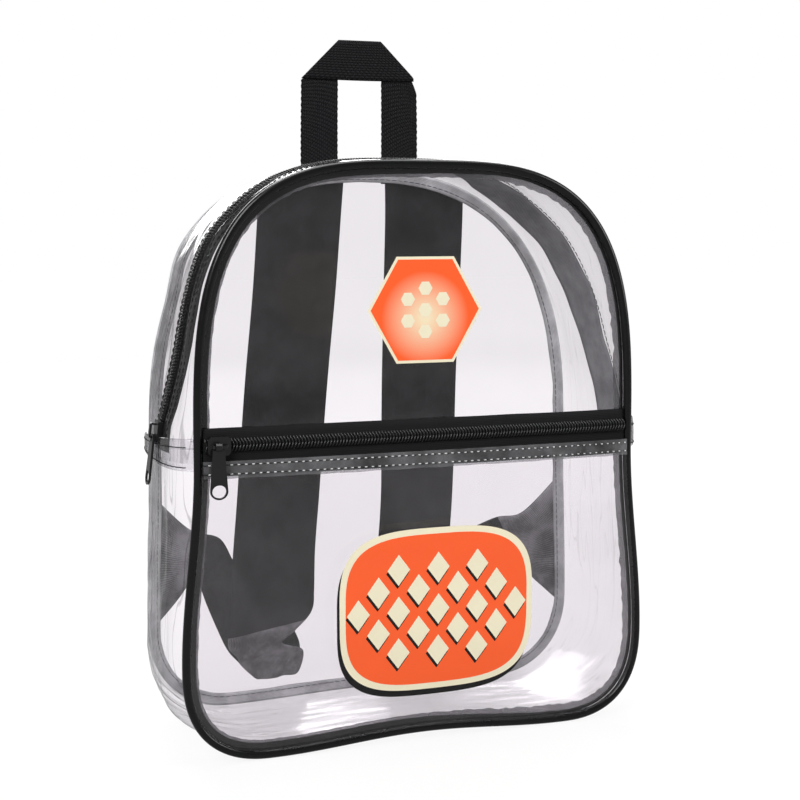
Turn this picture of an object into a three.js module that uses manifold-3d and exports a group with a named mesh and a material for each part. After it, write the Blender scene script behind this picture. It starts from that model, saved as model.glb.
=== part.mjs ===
// A clear backpack: film panels, black piping, zips, webbing handle and shoulder straps.
// Millimetres, +Z up, front towards -Y. It stands on the piping and on the back seam.
import * as THREE from "three";
import { mergeVertices } from "three/addons/utils/BufferGeometryUtils.js";
import Module from "manifold-3d";

const wasm = await Module();
wasm.setup();

// Driving dimensions of the bag body
const bagHeight = 299; // front piping, centre line to centre line
const bagDepth = 92; // front piping to back panel
const seamHeight = 151; // side seams where the zip half meets the lower half
const gap = 0.3; // clearance between neighbouring pieces

// Outlines of the front and back panels, as half widths and heights
const frontShape = {
  footHalf: 126.4, waistHalf: 118.9, flatHalf: 82, cornerHigh: 47,
  cornerPower: 2.45, archPower: 3.3, bottomRise: 4,
};
const backShape = {
  footHalf: 128.2, waistHalf: 125.8, flatHalf: 82, cornerHigh: 47,
  cornerPower: 2.1, archPower: 2.45, bottomRise: 2,
};

// Films, tapes and cords
const film = 1.0;
const cordRadius = 2.3;
const flangeWidth = 2.6; // piping flange showing inside the cord
const flangeThick = 0.8;
const bindingWidth = 7.4;
const bindingThick = 1.2;
const lowerBelly = 10.5; // how far the side film bellies out below the side seams
const upperBelly = 5.5; // and over the arch
const seamBelly = 2; // extra belly where the side seams stiffen the film
const seamStripHigh = 11; // lap of film at each side seam

// Zips
const tapeThick = 0.9;
const coilWidth = 6.2;
const coilHigh = 2.2;
const mainZipDepth = 38; // zip centre behind the front piping
const mainTapeWidth = 30;
const mainTapeBare = 15; // width of tape that the film leaves open
const pocketZipHeight = 160.5; // zip centre above the piping centre line
const pocketTapeAbove = 8.4; // tape above and below the zip centre
const pocketTapeBelow = 15.6;
const hemDrop = 7.6; // top of the clear hem below the zip centre
const hemHigh = 8.6;
const pocketSlack = 7; // how far the pocket film stands off the front film

// Sliders and pulls
const sliderLong = 11.5;
const sliderWall = 1.0;
const sliderRoof = 0.9;
const archLong = 8; // crown that carries the pull
const archThick = 1.6;
const archBar = 1.1;
const archOpen = 2.2; // clear height under the crown
const pullLong = 26;
const pullTopWide = 6;
const pullEndWide = 9;
const pullThick = 1.2;
const ringHigh = 6.4; // clear height of the finger ring
const ringWall = 0.9;
const knuckleLong = 3;

// Handle and shoulder straps
const webbingWide = 21.5;
const webbingThick = 1.8;
const handleSpan = 68.8; // outer edge to outer edge of the two legs
const handleRise = 71; // above the top of the back panel
const handleCut = 22; // height and width of the folded corners
const handleShift = -2.3; // handle centre from the middle of the bag
const handleRoot = 8; // length sewn down behind the top edge
const strapWide = 48.6;
const strapThick = 3;
const strapReach = 28; // how far the loose fold stands behind the back panel

// Course of each shoulder strap from the top seam, down, round its loose fold and up to the
// side seam. up is a share of bagHeight, side of the back panel's foot half width, away of
// strapReach behind the back panel, wide of strapWide; turn is the slope of the band's
// section in degrees.
const leftStrapCourse = [
  { up: 0.99, side: 0.273, away: 0.165, wide: 1, turn: 0 },
  { up: 0.905, side: 0.285, away: 0.22, wide: 1, turn: 0 },
  { up: 0.77, side: 0.302, away: 0.34, wide: 1, turn: 0 },
  { up: 0.605, side: 0.335, away: 0.42, wide: 1, turn: 0 },
  { up: 0.47, side: 0.36, away: 0.43, wide: 1, turn: 0 },
  { up: 0.37, side: 0.379, away: 0.43, wide: 1, turn: 0 },
  { up: 0.27, side: 0.402, away: 0.4, wide: 1, turn: 1 },
  { up: 0.185, side: 0.415, away: 0.37, wide: 1, turn: 1 },
  { up: 0.125, side: 0.423, away: 0.38, wide: 1, turn: 2 },
  { up: 0.08, side: 0.428, away: 0.44, wide: 1, turn: 2 },
  { up: 0.042, side: 0.431, away: 0.57, wide: 1, turn: 3 },
  { up: 0.028, side: 0.435, away: 0.74, wide: 1, turn: 4 },
  { up: 0.042, side: 0.44, away: 0.9, wide: 1, turn: 6 },
  { up: 0.088, side: 0.452, away: 1, wide: 1, turn: 14 },
  { up: 0.155, side: 0.49, away: 0.96, wide: 0.98, turn: 34 },
  { up: 0.23, side: 0.6, away: 0.76, wide: 0.88, turn: 56 },
  { up: 0.28, side: 0.735, away: 0.5, wide: 0.62, turn: 78 },
  { up: 0.305, side: 0.86, away: 0.25, wide: 0.78, turn: 87 },
  { up: 0.31, side: 0.968, away: 0.092, wide: 1.1, turn: 90 },
];
const rightStrapCourse = [
  { up: 0.99, side: 0.297, away: 0.165, wide: 0.99, turn: 0 },
  { up: 0.905, side: 0.301, away: 0.22, wide: 0.98, turn: 0 },
  { up: 0.77, side: 0.301, away: 0.34, wide: 0.97, turn: 0 },
  { up: 0.605, side: 0.296, away: 0.42, wide: 0.95, turn: 0 },
  { up: 0.47, side: 0.291, away: 0.43, wide: 0.94, turn: 0 },
  { up: 0.37, side: 0.287, away: 0.43, wide: 0.92, turn: -1 },
  { up: 0.27, side: 0.268, away: 0.4, wide: 0.93, turn: -3 },
  { up: 0.185, side: 0.245, away: 0.37, wide: 0.96, turn: -4 },
  { up: 0.125, side: 0.225, away: 0.38, wide: 0.98, turn: -3 },
  { up: 0.08, side: 0.21, away: 0.44, wide: 1, turn: -1 },
  { up: 0.045, side: 0.2, away: 0.57, wide: 1, turn: 2 },
  { up: 0.031, side: 0.2, away: 0.74, wide: 1, turn: 4 },
  { up: 0.045, side: 0.208, away: 0.9, wide: 1, turn: 8 },
  { up: 0.092, side: 0.23, away: 1, wide: 1, turn: 18 },
  { up: 0.155, side: 0.295, away: 0.97, wide: 0.98, turn: 38 },
  { up: 0.21, side: 0.42, away: 0.82, wide: 0.92, turn: 60 },
  { up: 0.245, side: 0.6, away: 0.58, wide: 0.8, turn: 77 },
  { up: 0.26, side: 0.8, away: 0.32, wide: 0.95, turn: 86 },
  { up: 0.262, side: 0.968, away: 0.092, wide: 1.25, turn: 90 },
];

// Steps along round stretches
const bottomSteps = 3;
const cornerSteps = 6;
const sideSteps = 4;
const archSteps = 12;
const acrossSteps = 10;
const cordSides = 8;

const backPlane = bagDepth;
const smooth = (t) => t * t * (3 - 2 * t);
const clamp01 = (t) => Math.min(1, Math.max(0, t));
const lerp = (a, b, t) => a + (b - a) * t;

// A panel's edge: its shape, its lowest height and its top
const frontEdge = { ...frontShape, low: 0, top: bagHeight };
const backEdge = { ...backShape, low: -cordRadius, top: bagHeight };

// Right half of a panel's outline, bottom middle to top middle, as {x, z} points
function halfOutline(edge) {
  const points = [];
  const { footHalf, waistHalf, flatHalf, cornerHigh, cornerPower, archPower, low, top } = edge;
  for (let i = 0; i < bottomSteps; i++) {
    const t = i / bottomSteps;
    points.push({ x: flatHalf * t, z: low + (edge.bottomRise * (1 + Math.cos(Math.PI * t))) / 2 });
  }
  for (let i = 0; i < cornerSteps; i++) {
    const angle = (Math.PI / 2) * (i / cornerSteps);
    points.push({
      x: flatHalf + (footHalf - flatHalf) * Math.pow(Math.sin(angle), 2 / cornerPower),
      z: low + cornerHigh * (1 - Math.pow(Math.cos(angle), 2 / cornerPower)),
    });
  }
  for (let i = 0; i < sideSteps; i++) {
    const t = i / sideSteps;
    points.push({ x: lerp(footHalf, waistHalf, smooth(t)), z: lerp(low + cornerHigh, seamHeight, t) });
  }
  for (let i = 0; i < archSteps; i++) {
    const angle = (Math.PI / 2) * (i / archSteps);
    points.push({
      x: waistHalf * Math.pow(Math.cos(angle), 2 / archPower),
      z: seamHeight + (top - seamHeight) * Math.pow(Math.sin(angle), 2 / archPower),
    });
  }
  points.push({ x: 0, z: top });
  return points;
}

// Whole outline, counterclockwise seen from the front, with outward normals
function outline(edge) {
  const right = halfOutline(edge);
  const left = right.slice(1, -1).reverse().map((p) => ({ x: -p.x, z: p.z }));
  const ring = [...right, ...left];
  const count = ring.length;
  return ring.map((p, i) => {
    const before = ring[(i + count - 1) % count];
    const after = ring[(i + 1) % count];
    const length = Math.hypot(after.x - before.x, after.z - before.z);
    return { x: p.x, z: p.z, nx: (after.z - before.z) / length, nz: -(after.x - before.x) / length };
  });
}

const frontRing = outline(frontEdge);
const backRing = outline(backEdge);
const ringCount = frontRing.length;
const rightSeam = bottomSteps + cornerSteps + sideSteps;
const leftSeam = ringCount - rightSeam;

const inset = (ring, distance) => ring.map((p) => ({ x: p.x - p.nx * distance, z: p.z - p.nz * distance }));

// Closed mesh from vertices and triangles, turned so that its faces point out
function solid(vertices, triangles) {
  let volume = 0;
  for (const [a, b, c] of triangles) {
    volume += vertices[a].dot(new THREE.Vector3().crossVectors(vertices[b], vertices[c]));
  }
  const index = triangles.flatMap(([a, b, c]) => (volume > 0 ? [a, b, c] : [a, c, b]));
  const geometry = new THREE.BufferGeometry().setFromPoints(vertices);
  geometry.setIndex(index);
  geometry.computeVertexNormals();
  return geometry;
}

// Wall of even thickness over a grid of points; rows close on themselves when round is true
function thickSheet(grid, thickness, round = false) {
  const rows = grid.length;
  const columns = grid[0].length;
  const at = (i, j) => grid[round ? (i + rows) % rows : Math.min(rows - 1, Math.max(0, i))][
    Math.min(columns - 1, Math.max(0, j))];
  const vertices = [];
  for (const side of [1, -1]) {
    for (let i = 0; i < rows; i++) {
      for (let j = 0; j < columns; j++) {
        const along = new THREE.Vector3().subVectors(at(i + 1, j), at(i - 1, j));
        const across = new THREE.Vector3().subVectors(at(i, j + 1), at(i, j - 1));
        const normal = along.cross(across).normalize();
        vertices.push(grid[i][j].clone().addScaledVector(normal, (side * thickness) / 2));
      }
    }
  }
  const id = (side, i, j) => side * rows * columns + ((i + rows) % rows) * columns + j;
  const triangles = [];
  const quad = (a, b, c, d) => triangles.push([a, b, c], [a, c, d]);
  const lastRow = round ? rows : rows - 1;
  for (let i = 0; i < lastRow; i++) {
    for (let j = 0; j < columns - 1; j++) {
      quad(id(0, i, j), id(0, i + 1, j), id(0, i + 1, j + 1), id(0, i, j + 1));
      quad(id(1, i, j), id(1, i, j + 1), id(1, i + 1, j + 1), id(1, i + 1, j));
    }
    quad(id(0, i, 0), id(1, i, 0), id(1, i + 1, 0), id(0, i + 1, 0));
    quad(id(0, i, columns - 1), id(0, i + 1, columns - 1), id(1, i + 1, columns - 1), id(1, i, columns - 1));
  }
  if (!round) {
    for (let j = 0; j < columns - 1; j++) {
      quad(id(0, 0, j), id(0, 0, j + 1), id(1, 0, j + 1), id(1, 0, j));
      quad(id(0, rows - 1, j), id(1, rows - 1, j), id(1, rows - 1, j + 1), id(0, rows - 1, j + 1));
    }
  }
  return solid(vertices, triangles);
}

// Closed section of {n, y} points carried round a ring of outline points
function sweepRing(ring, section) {
  const vertices = [];
  for (const p of ring) {
    for (const s of section) {
      vertices.push(new THREE.Vector3(p.x + p.nx * s.n, s.y, p.z + p.nz * s.n));
    }
  }
  const m = section.length;
  const triangles = [];
  ring.forEach((_, i) => {
    const next = (i + 1) % ring.length;
    for (let j = 0; j < m; j++) {
      const k = (j + 1) % m;
      triangles.push([i * m + j, next * m + j, next * m + k], [i * m + j, next * m + k, i * m + k]);
    }
  });
  return solid(vertices, triangles);
}

// Flat plate from a ring of {x, z} points, front face at y
function plate(points, y, thickness) {
  const shape = new THREE.Shape(points.map((p) => new THREE.Vector2(p.x, p.z)));
  const geometry = new THREE.ExtrudeGeometry(shape, { depth: thickness, bevelEnabled: false });
  return geometry.rotateX(Math.PI / 2).translate(0, y + thickness, 0);
}

// Boolean join and cut of closed geometries
function toManifold(geometry) {
  const bare = geometry.clone();
  bare.deleteAttribute("normal");
  bare.deleteAttribute("uv");
  const merged = mergeVertices(bare, 1e-4);
  return new wasm.Manifold(new wasm.Mesh({
    numProp: 3,
    vertProperties: new Float32Array(merged.attributes.position.array),
    triVerts: new Uint32Array(merged.index.array),
  }));
}

function fromManifold(body) {
  const mesh = body.getMesh();
  const geometry = new THREE.BufferGeometry();
  geometry.setAttribute("position", new THREE.BufferAttribute(new Float32Array(mesh.vertProperties), 3));
  geometry.setIndex(new THREE.BufferAttribute(new Uint32Array(mesh.triVerts), 1));
  geometry.computeVertexNormals();
  return geometry;
}

const join = (...parts) => fromManifold(parts.map(toManifold).reduce((a, b) => a.add(b)));
const cut = (part, ...tools) => fromManifold(tools.map(toManifold).reduce((a, b) => a.subtract(b), toManifold(part)));

// Layers at the front edge, as distances behind the piping centre
const frontFilmFace = 0.7;
const flangeFace = frontFilmFace + film + gap;
const gussetStart = flangeFace + flangeThick + gap + film / 2;
const gussetEnd = backPlane - film / 2 - gap - bindingThick - gap - film / 2;
const gussetFrontInset = cordRadius - gap;
const gussetBackInset = 1.2;

// Outward belly of the side film at a share s of its depth: quick at the front, easing to the back
const bellyShape = (s) => Math.sqrt(1 - Math.pow(1 - s, 9)) * Math.pow(1 - Math.pow(s, 1.8), 0.7);

// Point of a ring at an index that may lie between two of its points
function ringAt(ring, i) {
  const a = ring[Math.floor(i) % ringCount];
  const b = ring[Math.ceil(i) % ringCount];
  const t = i - Math.floor(i);
  return { x: lerp(a.x, b.x, t), z: lerp(a.z, b.z, t), nx: lerp(a.nx, b.nx, t), nz: lerp(a.nz, b.nz, t) };
}

// Point in the middle of the side film at ring index i and depth share s
function filmPoint(i, s) {
  const f = ringAt(frontRing, i);
  const b = ringAt(backRing, i);
  const nx = lerp(f.nx, b.nx, s);
  const nz = lerp(f.nz, b.nz, s);
  const upright = smooth(clamp01((nz + 1) / 0.75));
  const z = lerp(f.z, b.z, s);
  const nearSeam = Math.exp(-Math.pow((z - seamHeight) / (0.11 * bagHeight), 2));
  const height = smooth(clamp01((z - seamHeight) / (0.2 * bagHeight)));
  const belly = (lerp(lowerBelly, upperBelly, height) + seamBelly * nearSeam) * upright * bellyShape(s);
  const out = belly - lerp(gussetFrontInset, gussetBackInset, s);
  return new THREE.Vector3(
    lerp(f.x, b.x, s) + nx * out,
    lerp(gussetStart, gussetEnd, s),
    z + nz * out,
  );
}

// The same point moved off the film by lift, along the film's own outward direction
function gussetPoint(i, s, lift) {
  const along = filmPoint(i + 1, s).sub(filmPoint(i + ringCount - 1, s));
  const across = filmPoint(i, Math.min(1, s + 0.02)).sub(filmPoint(i, Math.max(0, s - 0.02)));
  return filmPoint(i, s).addScaledVector(across.cross(along).normalize(), lift);
}

const depthShare = (y) => (y - gussetStart) / (gussetEnd - gussetStart);
const spread = (from, to, steps) => Array.from({ length: steps + 1 }, (_, k) => lerp(from, to, k / steps));
// Depth shares that crowd towards the seams, where the film turns quickest
const crowded = (from, to, steps) => spread(0, 1, steps).map((t) => lerp(from, to, (1 - Math.cos(Math.PI * t)) / 2));

const upperRun = spread(rightSeam, leftSeam, leftSeam - rightSeam);
const lowerRun = spread(leftSeam, ringCount + rightSeam, 2 * rightSeam);

// Strip of gusset film over a run of ring indices; trimmed moves its two ends back along the outline
function gussetStrip(run, shares, lift, thickness, trimmed) {
  const grid = run.map((i) => shares.map((s) => gussetPoint(i, s, lift)));
  const trimEnd = (row, next) => row.forEach((p, j) => p.addScaledVector(
    new THREE.Vector3().subVectors(next[j], p).normalize(), trimmed));
  trimEnd(grid[0], grid[1]);
  trimEnd(grid[grid.length - 1], grid[grid.length - 2]);
  return thickSheet(grid, thickness);
}

// Materials
const matte = (color, roughness) => new THREE.MeshStandardMaterial({ color, roughness, metalness: 0 });
const clearFilm = new THREE.MeshStandardMaterial({
  color: 0xf2f2f4, roughness: 0.12, metalness: 0, transparent: true, opacity: 0.35,
});
const blackVinyl = matte(0x161617, 0.38);
const blackTape = matte(0x1c1c1d, 0.85);
const blackCoil = matte(0x141415, 0.45);
const blackWebbing = matte(0x171718, 0.8);
const blackCloth = matte(0x2b2b2d, 0.9);
const blackMetal = matte(0x121213, 0.35);

const bag = new THREE.Group();
function add(parent, name, geometry, material) {
  const mesh = new THREE.Mesh(geometry, material);
  mesh.name = name;
  parent.add(mesh);
  return mesh;
}

// Front film, flat, inside the piping cord
const panelInset = cordRadius + gap;
add(bag, "front_panel", plate(inset(frontRing, panelInset), frontFilmFace, film), clearFilm);

// Piping: round cord with a flange that runs inside the seam, behind the front film
function pipingSection() {
  const points = [];
  for (let k = 0; k < cordSides; k++) {
    const angle = ((k + 0.5) / cordSides) * 2 * Math.PI;
    points.push({ n: cordRadius * Math.cos(angle), y: cordRadius * Math.sin(angle) });
  }
  // The flange leaves the cord on its inner back side
  const start = points.findIndex((p) => p.n < 0 && p.y > 0 && p.y > cordRadius * 0.8);
  const flange = [
    { n: -cordRadius * 0.6, y: flangeFace + flangeThick },
    { n: -cordRadius - flangeWidth, y: flangeFace + flangeThick },
    { n: -cordRadius - flangeWidth, y: flangeFace },
    { n: -cordRadius * 0.75, y: flangeFace },
  ];
  return [...points.slice(0, start), ...flange, ...points.slice(start + 1)];
}
add(bag, "front_piping", sweepRing(frontRing, pipingSection()), blackVinyl);

// Side film below the seams: down one side, under the bottom and up the other
const endTrim = 0.7 * gap;
add(bag, "gusset_lower", gussetStrip(lowerRun, crowded(0, 1, acrossSteps), 0, film, endTrim), clearFilm);

// Side film above the seams, in two strips with the zip between them
const bareFront = depthShare(mainZipDepth - mainTapeBare / 2);
const bareBack = depthShare(mainZipDepth + mainTapeBare / 2);
add(bag, "gusset_upper_front", gussetStrip(upperRun, crowded(0, bareFront, 6), 0, film, endTrim), clearFilm);
add(bag, "gusset_upper_back", gussetStrip(upperRun, crowded(bareBack, 1, 6), 0, film, endTrim), clearFilm);

// Main zip: tape inside the film, coil outside the tape
const tapeLift = -(film / 2 + 1.4 * gap + tapeThick / 2);
const coilLift = tapeLift + tapeThick / 2 + 1.2 * gap + coilHigh / 2;
const halfTape = mainTapeWidth / 2;
add(bag, "main_zip_tape", gussetStrip(upperRun,
  spread(depthShare(mainZipDepth - halfTape), depthShare(mainZipDepth + halfTape), 4),
  tapeLift, tapeThick, endTrim), blackTape);
const coilShares = spread(depthShare(mainZipDepth - coilWidth / 2), depthShare(mainZipDepth + coilWidth / 2), 2);
add(bag, "main_zip_coil", gussetStrip(upperRun, coilShares, coilLift, coilHigh, seamStripHigh / 2 + 4 * gap), blackCoil);

// Back film, flat, and the tape that binds its seam inside the bag
add(bag, "back_panel", plate(backRing, backPlane - film / 2, film), clearFilm);
const bindingBack = backPlane - film / 2 - gap;
add(bag, "back_binding", sweepRing(backRing, [
  { n: 0, y: bindingBack - bindingThick },
  { n: 0, y: bindingBack },
  { n: -bindingWidth, y: bindingBack },
  { n: -bindingWidth, y: bindingBack - bindingThick },
]), blackTape);

// Laps of film over the side seams, outside the side film
const lapLift = film + 1.8 * gap;
function seamLap(seamIndex) {
  const toward = (step) => seamStripHigh / 2 / filmPoint(seamIndex + step, 0.5).distanceTo(filmPoint(seamIndex, 0.5));
  const rows = [seamIndex - toward(-1), seamIndex, seamIndex + toward(1)];
  const shares = crowded(0.04, 0.98, acrossSteps);
  return thickSheet(rows.map((i) => shares.map((s) => gussetPoint(i, s, lapLift))), film);
}
add(bag, "gusset_seam_left", seamLap(leftSeam), clearFilm);
add(bag, "gusset_seam_right", seamLap(rightSeam), clearFilm);

// Pocket film and zip stand off the front film by a slack that dies out at the edges
const pocketTop = pocketZipHeight + pocketTapeAbove;
const pocketRing = inset(frontRing, panelInset).slice(bottomSteps, Math.floor(ringCount / 2) + 1);
function pocketHalf(z) {
  const upper = pocketRing.findIndex((p) => p.z >= z);
  if (upper <= 0) return pocketRing[0].x;
  const a = pocketRing[upper - 1];
  const b = pocketRing[upper];
  return lerp(a.x, b.x, (z - a.z) / (b.z - a.z));
}
const pocketLow = pocketRing[0].z;
function pocketStand(x, z) {
  const wide = 1 - Math.pow(Math.abs(x) / frontShape.footHalf, 3);
  const high = 1 - Math.pow(Math.abs((2 * z) / pocketTop - 1), 3);
  return pocketSlack * Math.max(0, wide) * Math.max(0, high);
}
// Sheet over the pocket between heights, its middle held forward of the front film's front face
const pocketColumns = [-1, -0.85, -0.68, -0.5, -0.33, -0.16, 0, 0.16, 0.33, 0.5, 0.68, 0.85, 1];
function pocketPoint(u, z, forward) {
  const x = u * pocketHalf(z);
  const flat = clamp01(Math.abs(x) / frontShape.flatHalf);
  const arch = (frontShape.bottomRise * (1 + Math.cos(Math.PI * flat))) / 2;
  const lifted = z + arch * clamp01(1 - (z - pocketLow) / frontShape.cornerHigh);
  return new THREE.Vector3(x, frontFilmFace - forward - pocketStand(x, lifted), lifted);
}
const pocketSheet = (heights, forward, thickness) =>
  thickSheet(heights.map((z) => pocketColumns.map((u) => pocketPoint(u, z, forward))), thickness);
const tapeForward = gap + tapeThick / 2;
const pocketForward = tapeForward + tapeThick / 2 + 1.3 * gap + film / 2;
const hemForward = pocketForward + film + 1.3 * gap;
const coilForward = tapeForward + tapeThick / 2 + 1.3 * gap + coilHigh / 2;
const hemTop = pocketZipHeight - hemDrop;
const hemHeights = [hemTop - hemHigh, hemTop];
const tapeLow = pocketZipHeight - pocketTapeBelow;
const coilHeights = [pocketZipHeight - coilWidth / 2, pocketZipHeight + coilWidth / 2];
const pocketHeights = [
  ...[0, 0.08, 0.25, 0.55].map((t) => pocketLow + t * frontShape.cornerHigh),
  ...spread(frontShape.cornerHigh, hemHeights[0], 4),
  hemTop,
];
add(bag, "pocket_panel", pocketSheet(pocketHeights, pocketForward, film), clearFilm);
add(bag, "pocket_seam_strip", pocketSheet(hemHeights, hemForward, film), clearFilm);
add(bag, "pocket_zip_tape", pocketSheet([tapeLow, hemTop, ...coilHeights, pocketTop], tapeForward, tapeThick), blackTape);
add(bag, "pocket_zip_coil", pocketSheet(coilHeights, coilForward, coilHigh), blackCoil);

// Zip slider in its own axes: along the zip X, across it Y, away from the tape Z
const channelWide = coilWidth + 4 * gap;
const sliderWide = channelWide + 2 * sliderWall;
const channelHigh = gap + coilHigh + 1.5 * gap;
const roofTop = channelHigh + sliderRoof;
const barHeight = roofTop + archOpen + archBar / 2;
function roundedShape(long, wide, radius) {
  const x = long / 2;
  const y = wide / 2;
  const shape = new THREE.Shape();
  shape.moveTo(-x + radius, -y);
  shape.lineTo(x - radius, -y);
  shape.absarc(x - radius, -y + radius, radius, -Math.PI / 2, 0);
  shape.lineTo(x, y - radius);
  shape.absarc(x - radius, y - radius, radius, 0, Math.PI / 2);
  shape.lineTo(-x + radius, y);
  shape.absarc(-x + radius, y - radius, radius, Math.PI / 2, Math.PI);
  shape.lineTo(-x, -y + radius);
  shape.absarc(-x + radius, -y + radius, radius, Math.PI, 1.5 * Math.PI);
  return shape;
}
const extrude = (shape, depth, curveSegments = 4) =>
  new THREE.ExtrudeGeometry(shape, { depth, bevelEnabled: false, curveSegments });
function crown() {
  const outer = archLong / 2;
  const inner = outer - archBar;
  const shape = new THREE.Shape();
  const foot = roofTop - sliderRoof / 2;
  shape.moveTo(-outer, foot);
  shape.lineTo(-inner, foot);
  shape.lineTo(-inner, roofTop + archOpen);
  shape.lineTo(inner, roofTop + archOpen);
  shape.lineTo(inner, foot);
  shape.lineTo(outer, foot);
  shape.lineTo(outer, roofTop + archOpen);
  shape.absarc(outer - archBar, roofTop + archOpen, archBar, 0, Math.PI / 2);
  shape.absarc(-outer + archBar, roofTop + archOpen, archBar, Math.PI / 2, Math.PI);
  return extrude(shape, archThick, 3).translate(0, 0, -archThick / 2).rotateX(Math.PI / 2);
}
function slider() {
  const body = extrude(roundedShape(sliderLong, sliderWide, sliderWide / 4), roofTop - gap).translate(0, 0, gap);
  const channel = new THREE.BoxGeometry(sliderLong * 2, channelWide, 2 * channelHigh);
  return join(cut(body, channel), crown());
}

// Pull in its own axes: across X, hanging down -Y, thickness Z, the turning line through the origin.
// A knuckle goes round a bar that runs along X; an eye hangs by its own top bar.
function pull(kind) {
  const eyeHalf = archThick / 2 + 0.4;
  const eyeDeep = Math.hypot(archBar + archOpen / 2, archBar * 2 + gap) + 2 * gap;
  const bore = Math.hypot(archBar, archThick) / 2 + 1.3 * gap;
  const top = kind === "eye" ? pullThick / 2 : -bore;
  const ringOuter = pullEndWide / 2;
  const ringCentre = -pullLong + ringHigh / 2 + ringWall;
  const shape = new THREE.Shape();
  shape.moveTo(-pullTopWide / 2, top);
  shape.lineTo(-ringOuter, ringCentre);
  shape.absellipse(0, ringCentre, ringOuter, ringHigh / 2 + ringWall, Math.PI, 2 * Math.PI, false);
  shape.lineTo(pullTopWide / 2, top);
  const ring = new THREE.Path();
  ring.absellipse(0, ringCentre, ringOuter - ringWall, ringHigh / 2, 0, 2 * Math.PI, false);
  shape.holes.push(ring);
  if (kind === "eye") {
    const eye = new THREE.Path();
    eye.moveTo(-eyeHalf, -pullThick / 2);
    eye.lineTo(eyeHalf, -pullThick / 2);
    eye.lineTo(eyeHalf, -eyeDeep);
    eye.lineTo(-eyeHalf, -eyeDeep);
    shape.holes.push(eye);
  }
  const tab = extrude(shape, pullThick, 8).translate(0, 0, -pullThick / 2);
  if (kind === "eye") return tab;
  const knuckle = new THREE.CylinderGeometry(bore + 0.7, bore + 0.7, knuckleLong, 12).rotateZ(Math.PI / 2);
  const hole = new THREE.CylinderGeometry(bore, bore, 2 * knuckleLong, 12).rotateZ(Math.PI / 2);
  return cut(join(tab, knuckle), hole);
}

// Pocket slider at the left end of its zip, flat on the tape, pull hanging from the crown
const pocketSliderFromEnd = 1.3;
const pocketPullShift = (archLong - 2 * archBar - knuckleLong) / 2 - gap; // along the crown, towards the end
const pocketEnd = pocketPoint(pocketColumns[0], pocketZipHeight, tapeForward);
const pocketRun = pocketPoint(pocketColumns[1], pocketZipHeight, tapeForward).sub(pocketEnd).normalize();
const tapeOut = new THREE.Vector3(0, 0, 1).cross(pocketRun).negate();
const pocketSlider = new THREE.Group();
pocketSlider.position.copy(pocketEnd)
  .addScaledVector(pocketRun, pocketSliderFromEnd + sliderLong / 2)
  .addScaledVector(tapeOut, tapeThick / 2 + gap);
pocketSlider.quaternion.setFromRotationMatrix(
  new THREE.Matrix4().makeBasis(pocketRun, new THREE.Vector3(0, 0, 1), tapeOut));
bag.add(pocketSlider);
add(pocketSlider, "pocket_zip_slider", slider(), blackMetal);
const pocketPull = add(bag, "pocket_zip_pull", pull("knuckle"), blackMetal);
pocketPull.position.set(-pocketPullShift, 0, barHeight).applyQuaternion(pocketSlider.quaternion).add(pocketSlider.position);
pocketPull.rotation.set(Math.PI / 2, 0, 0);

// Main slider on the left side, just above the side seam; its pull hangs by its eye in the crown
const zipShare = depthShare(mainZipDepth);
const mainSliderHeight = seamHeight + seamStripHigh / 2 + 4 * gap + sliderLong / 2;
function leftZipPoint(z, lift) {
  const low = gussetPoint(leftSeam, zipShare, lift);
  const high = gussetPoint(leftSeam - 1, zipShare, lift);
  return low.lerp(high, (z - low.z) / (high.z - low.z));
}
const zipFaceLift = tapeLift + tapeThick / 2 + 0.6 * gap;
const mainLow = leftZipPoint(mainSliderHeight - sliderLong / 2, zipFaceLift);
const mainHigh = leftZipPoint(mainSliderHeight + sliderLong / 2, zipFaceLift);
const mainLean = Math.atan2(mainHigh.x - mainLow.x, mainHigh.z - mainLow.z);
const mainSlider = new THREE.Group();
mainSlider.position.copy(mainLow).lerp(mainHigh, 0.5);
mainSlider.rotation.set(0, mainLean - Math.PI / 2, 0);
bag.add(mainSlider);
add(mainSlider, "main_zip_slider", slider(), blackMetal);
const mainPull = add(bag, "main_zip_pull", pull("eye"), blackMetal);
const eyeBar = new THREE.Vector3(-archLong / 2 + archBar + gap + pullThick / 2, 0, roofTop + archOpen / 2);
mainPull.position.copy(eyeBar.applyEuler(mainSlider.rotation).add(mainSlider.position));
const alongZip = new THREE.Vector3(Math.sin(mainLean), 0, Math.cos(mainLean));
const depthwise = new THREE.Vector3(0, 1, 0);
mainPull.quaternion.setFromRotationMatrix(
  new THREE.Matrix4().makeBasis(depthwise, alongZip, depthwise.clone().cross(alongZip)));

// Handle: webbing up one leg, across and down the other, folded over at both corners
function handle() {
  const half = handleSpan / 2;
  const inner = half - webbingWide;
  const top = bagHeight + handleRise;
  const foot = bagHeight - handleRoot;
  const shape = new THREE.Shape();
  shape.moveTo(-half, foot);
  shape.lineTo(-inner, foot);
  shape.lineTo(-inner, top - webbingWide);
  shape.lineTo(inner, top - webbingWide);
  shape.lineTo(inner, foot);
  shape.lineTo(half, foot);
  shape.lineTo(half, top - handleCut);
  shape.lineTo(half - handleCut, top);
  shape.lineTo(-half + handleCut, top);
  shape.lineTo(-half, top - handleCut);
  const loop = extrude(shape, webbingThick);
  const corner = (side) => {
    const flap = new THREE.Shape();
    flap.moveTo(side * half, top - handleCut);
    flap.lineTo(side * (half - handleCut), top);
    flap.lineTo(side * inner, top - webbingWide);
    return extrude(flap, webbingThick * 2);
  };
  return join(loop, corner(1), corner(-1)).rotateX(Math.PI / 2).translate(0, webbingThick, 0);
}
const behindBack = backPlane + film / 2 + gap;
const handleMesh = add(bag, "carry_handle", handle(), blackWebbing);
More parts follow.
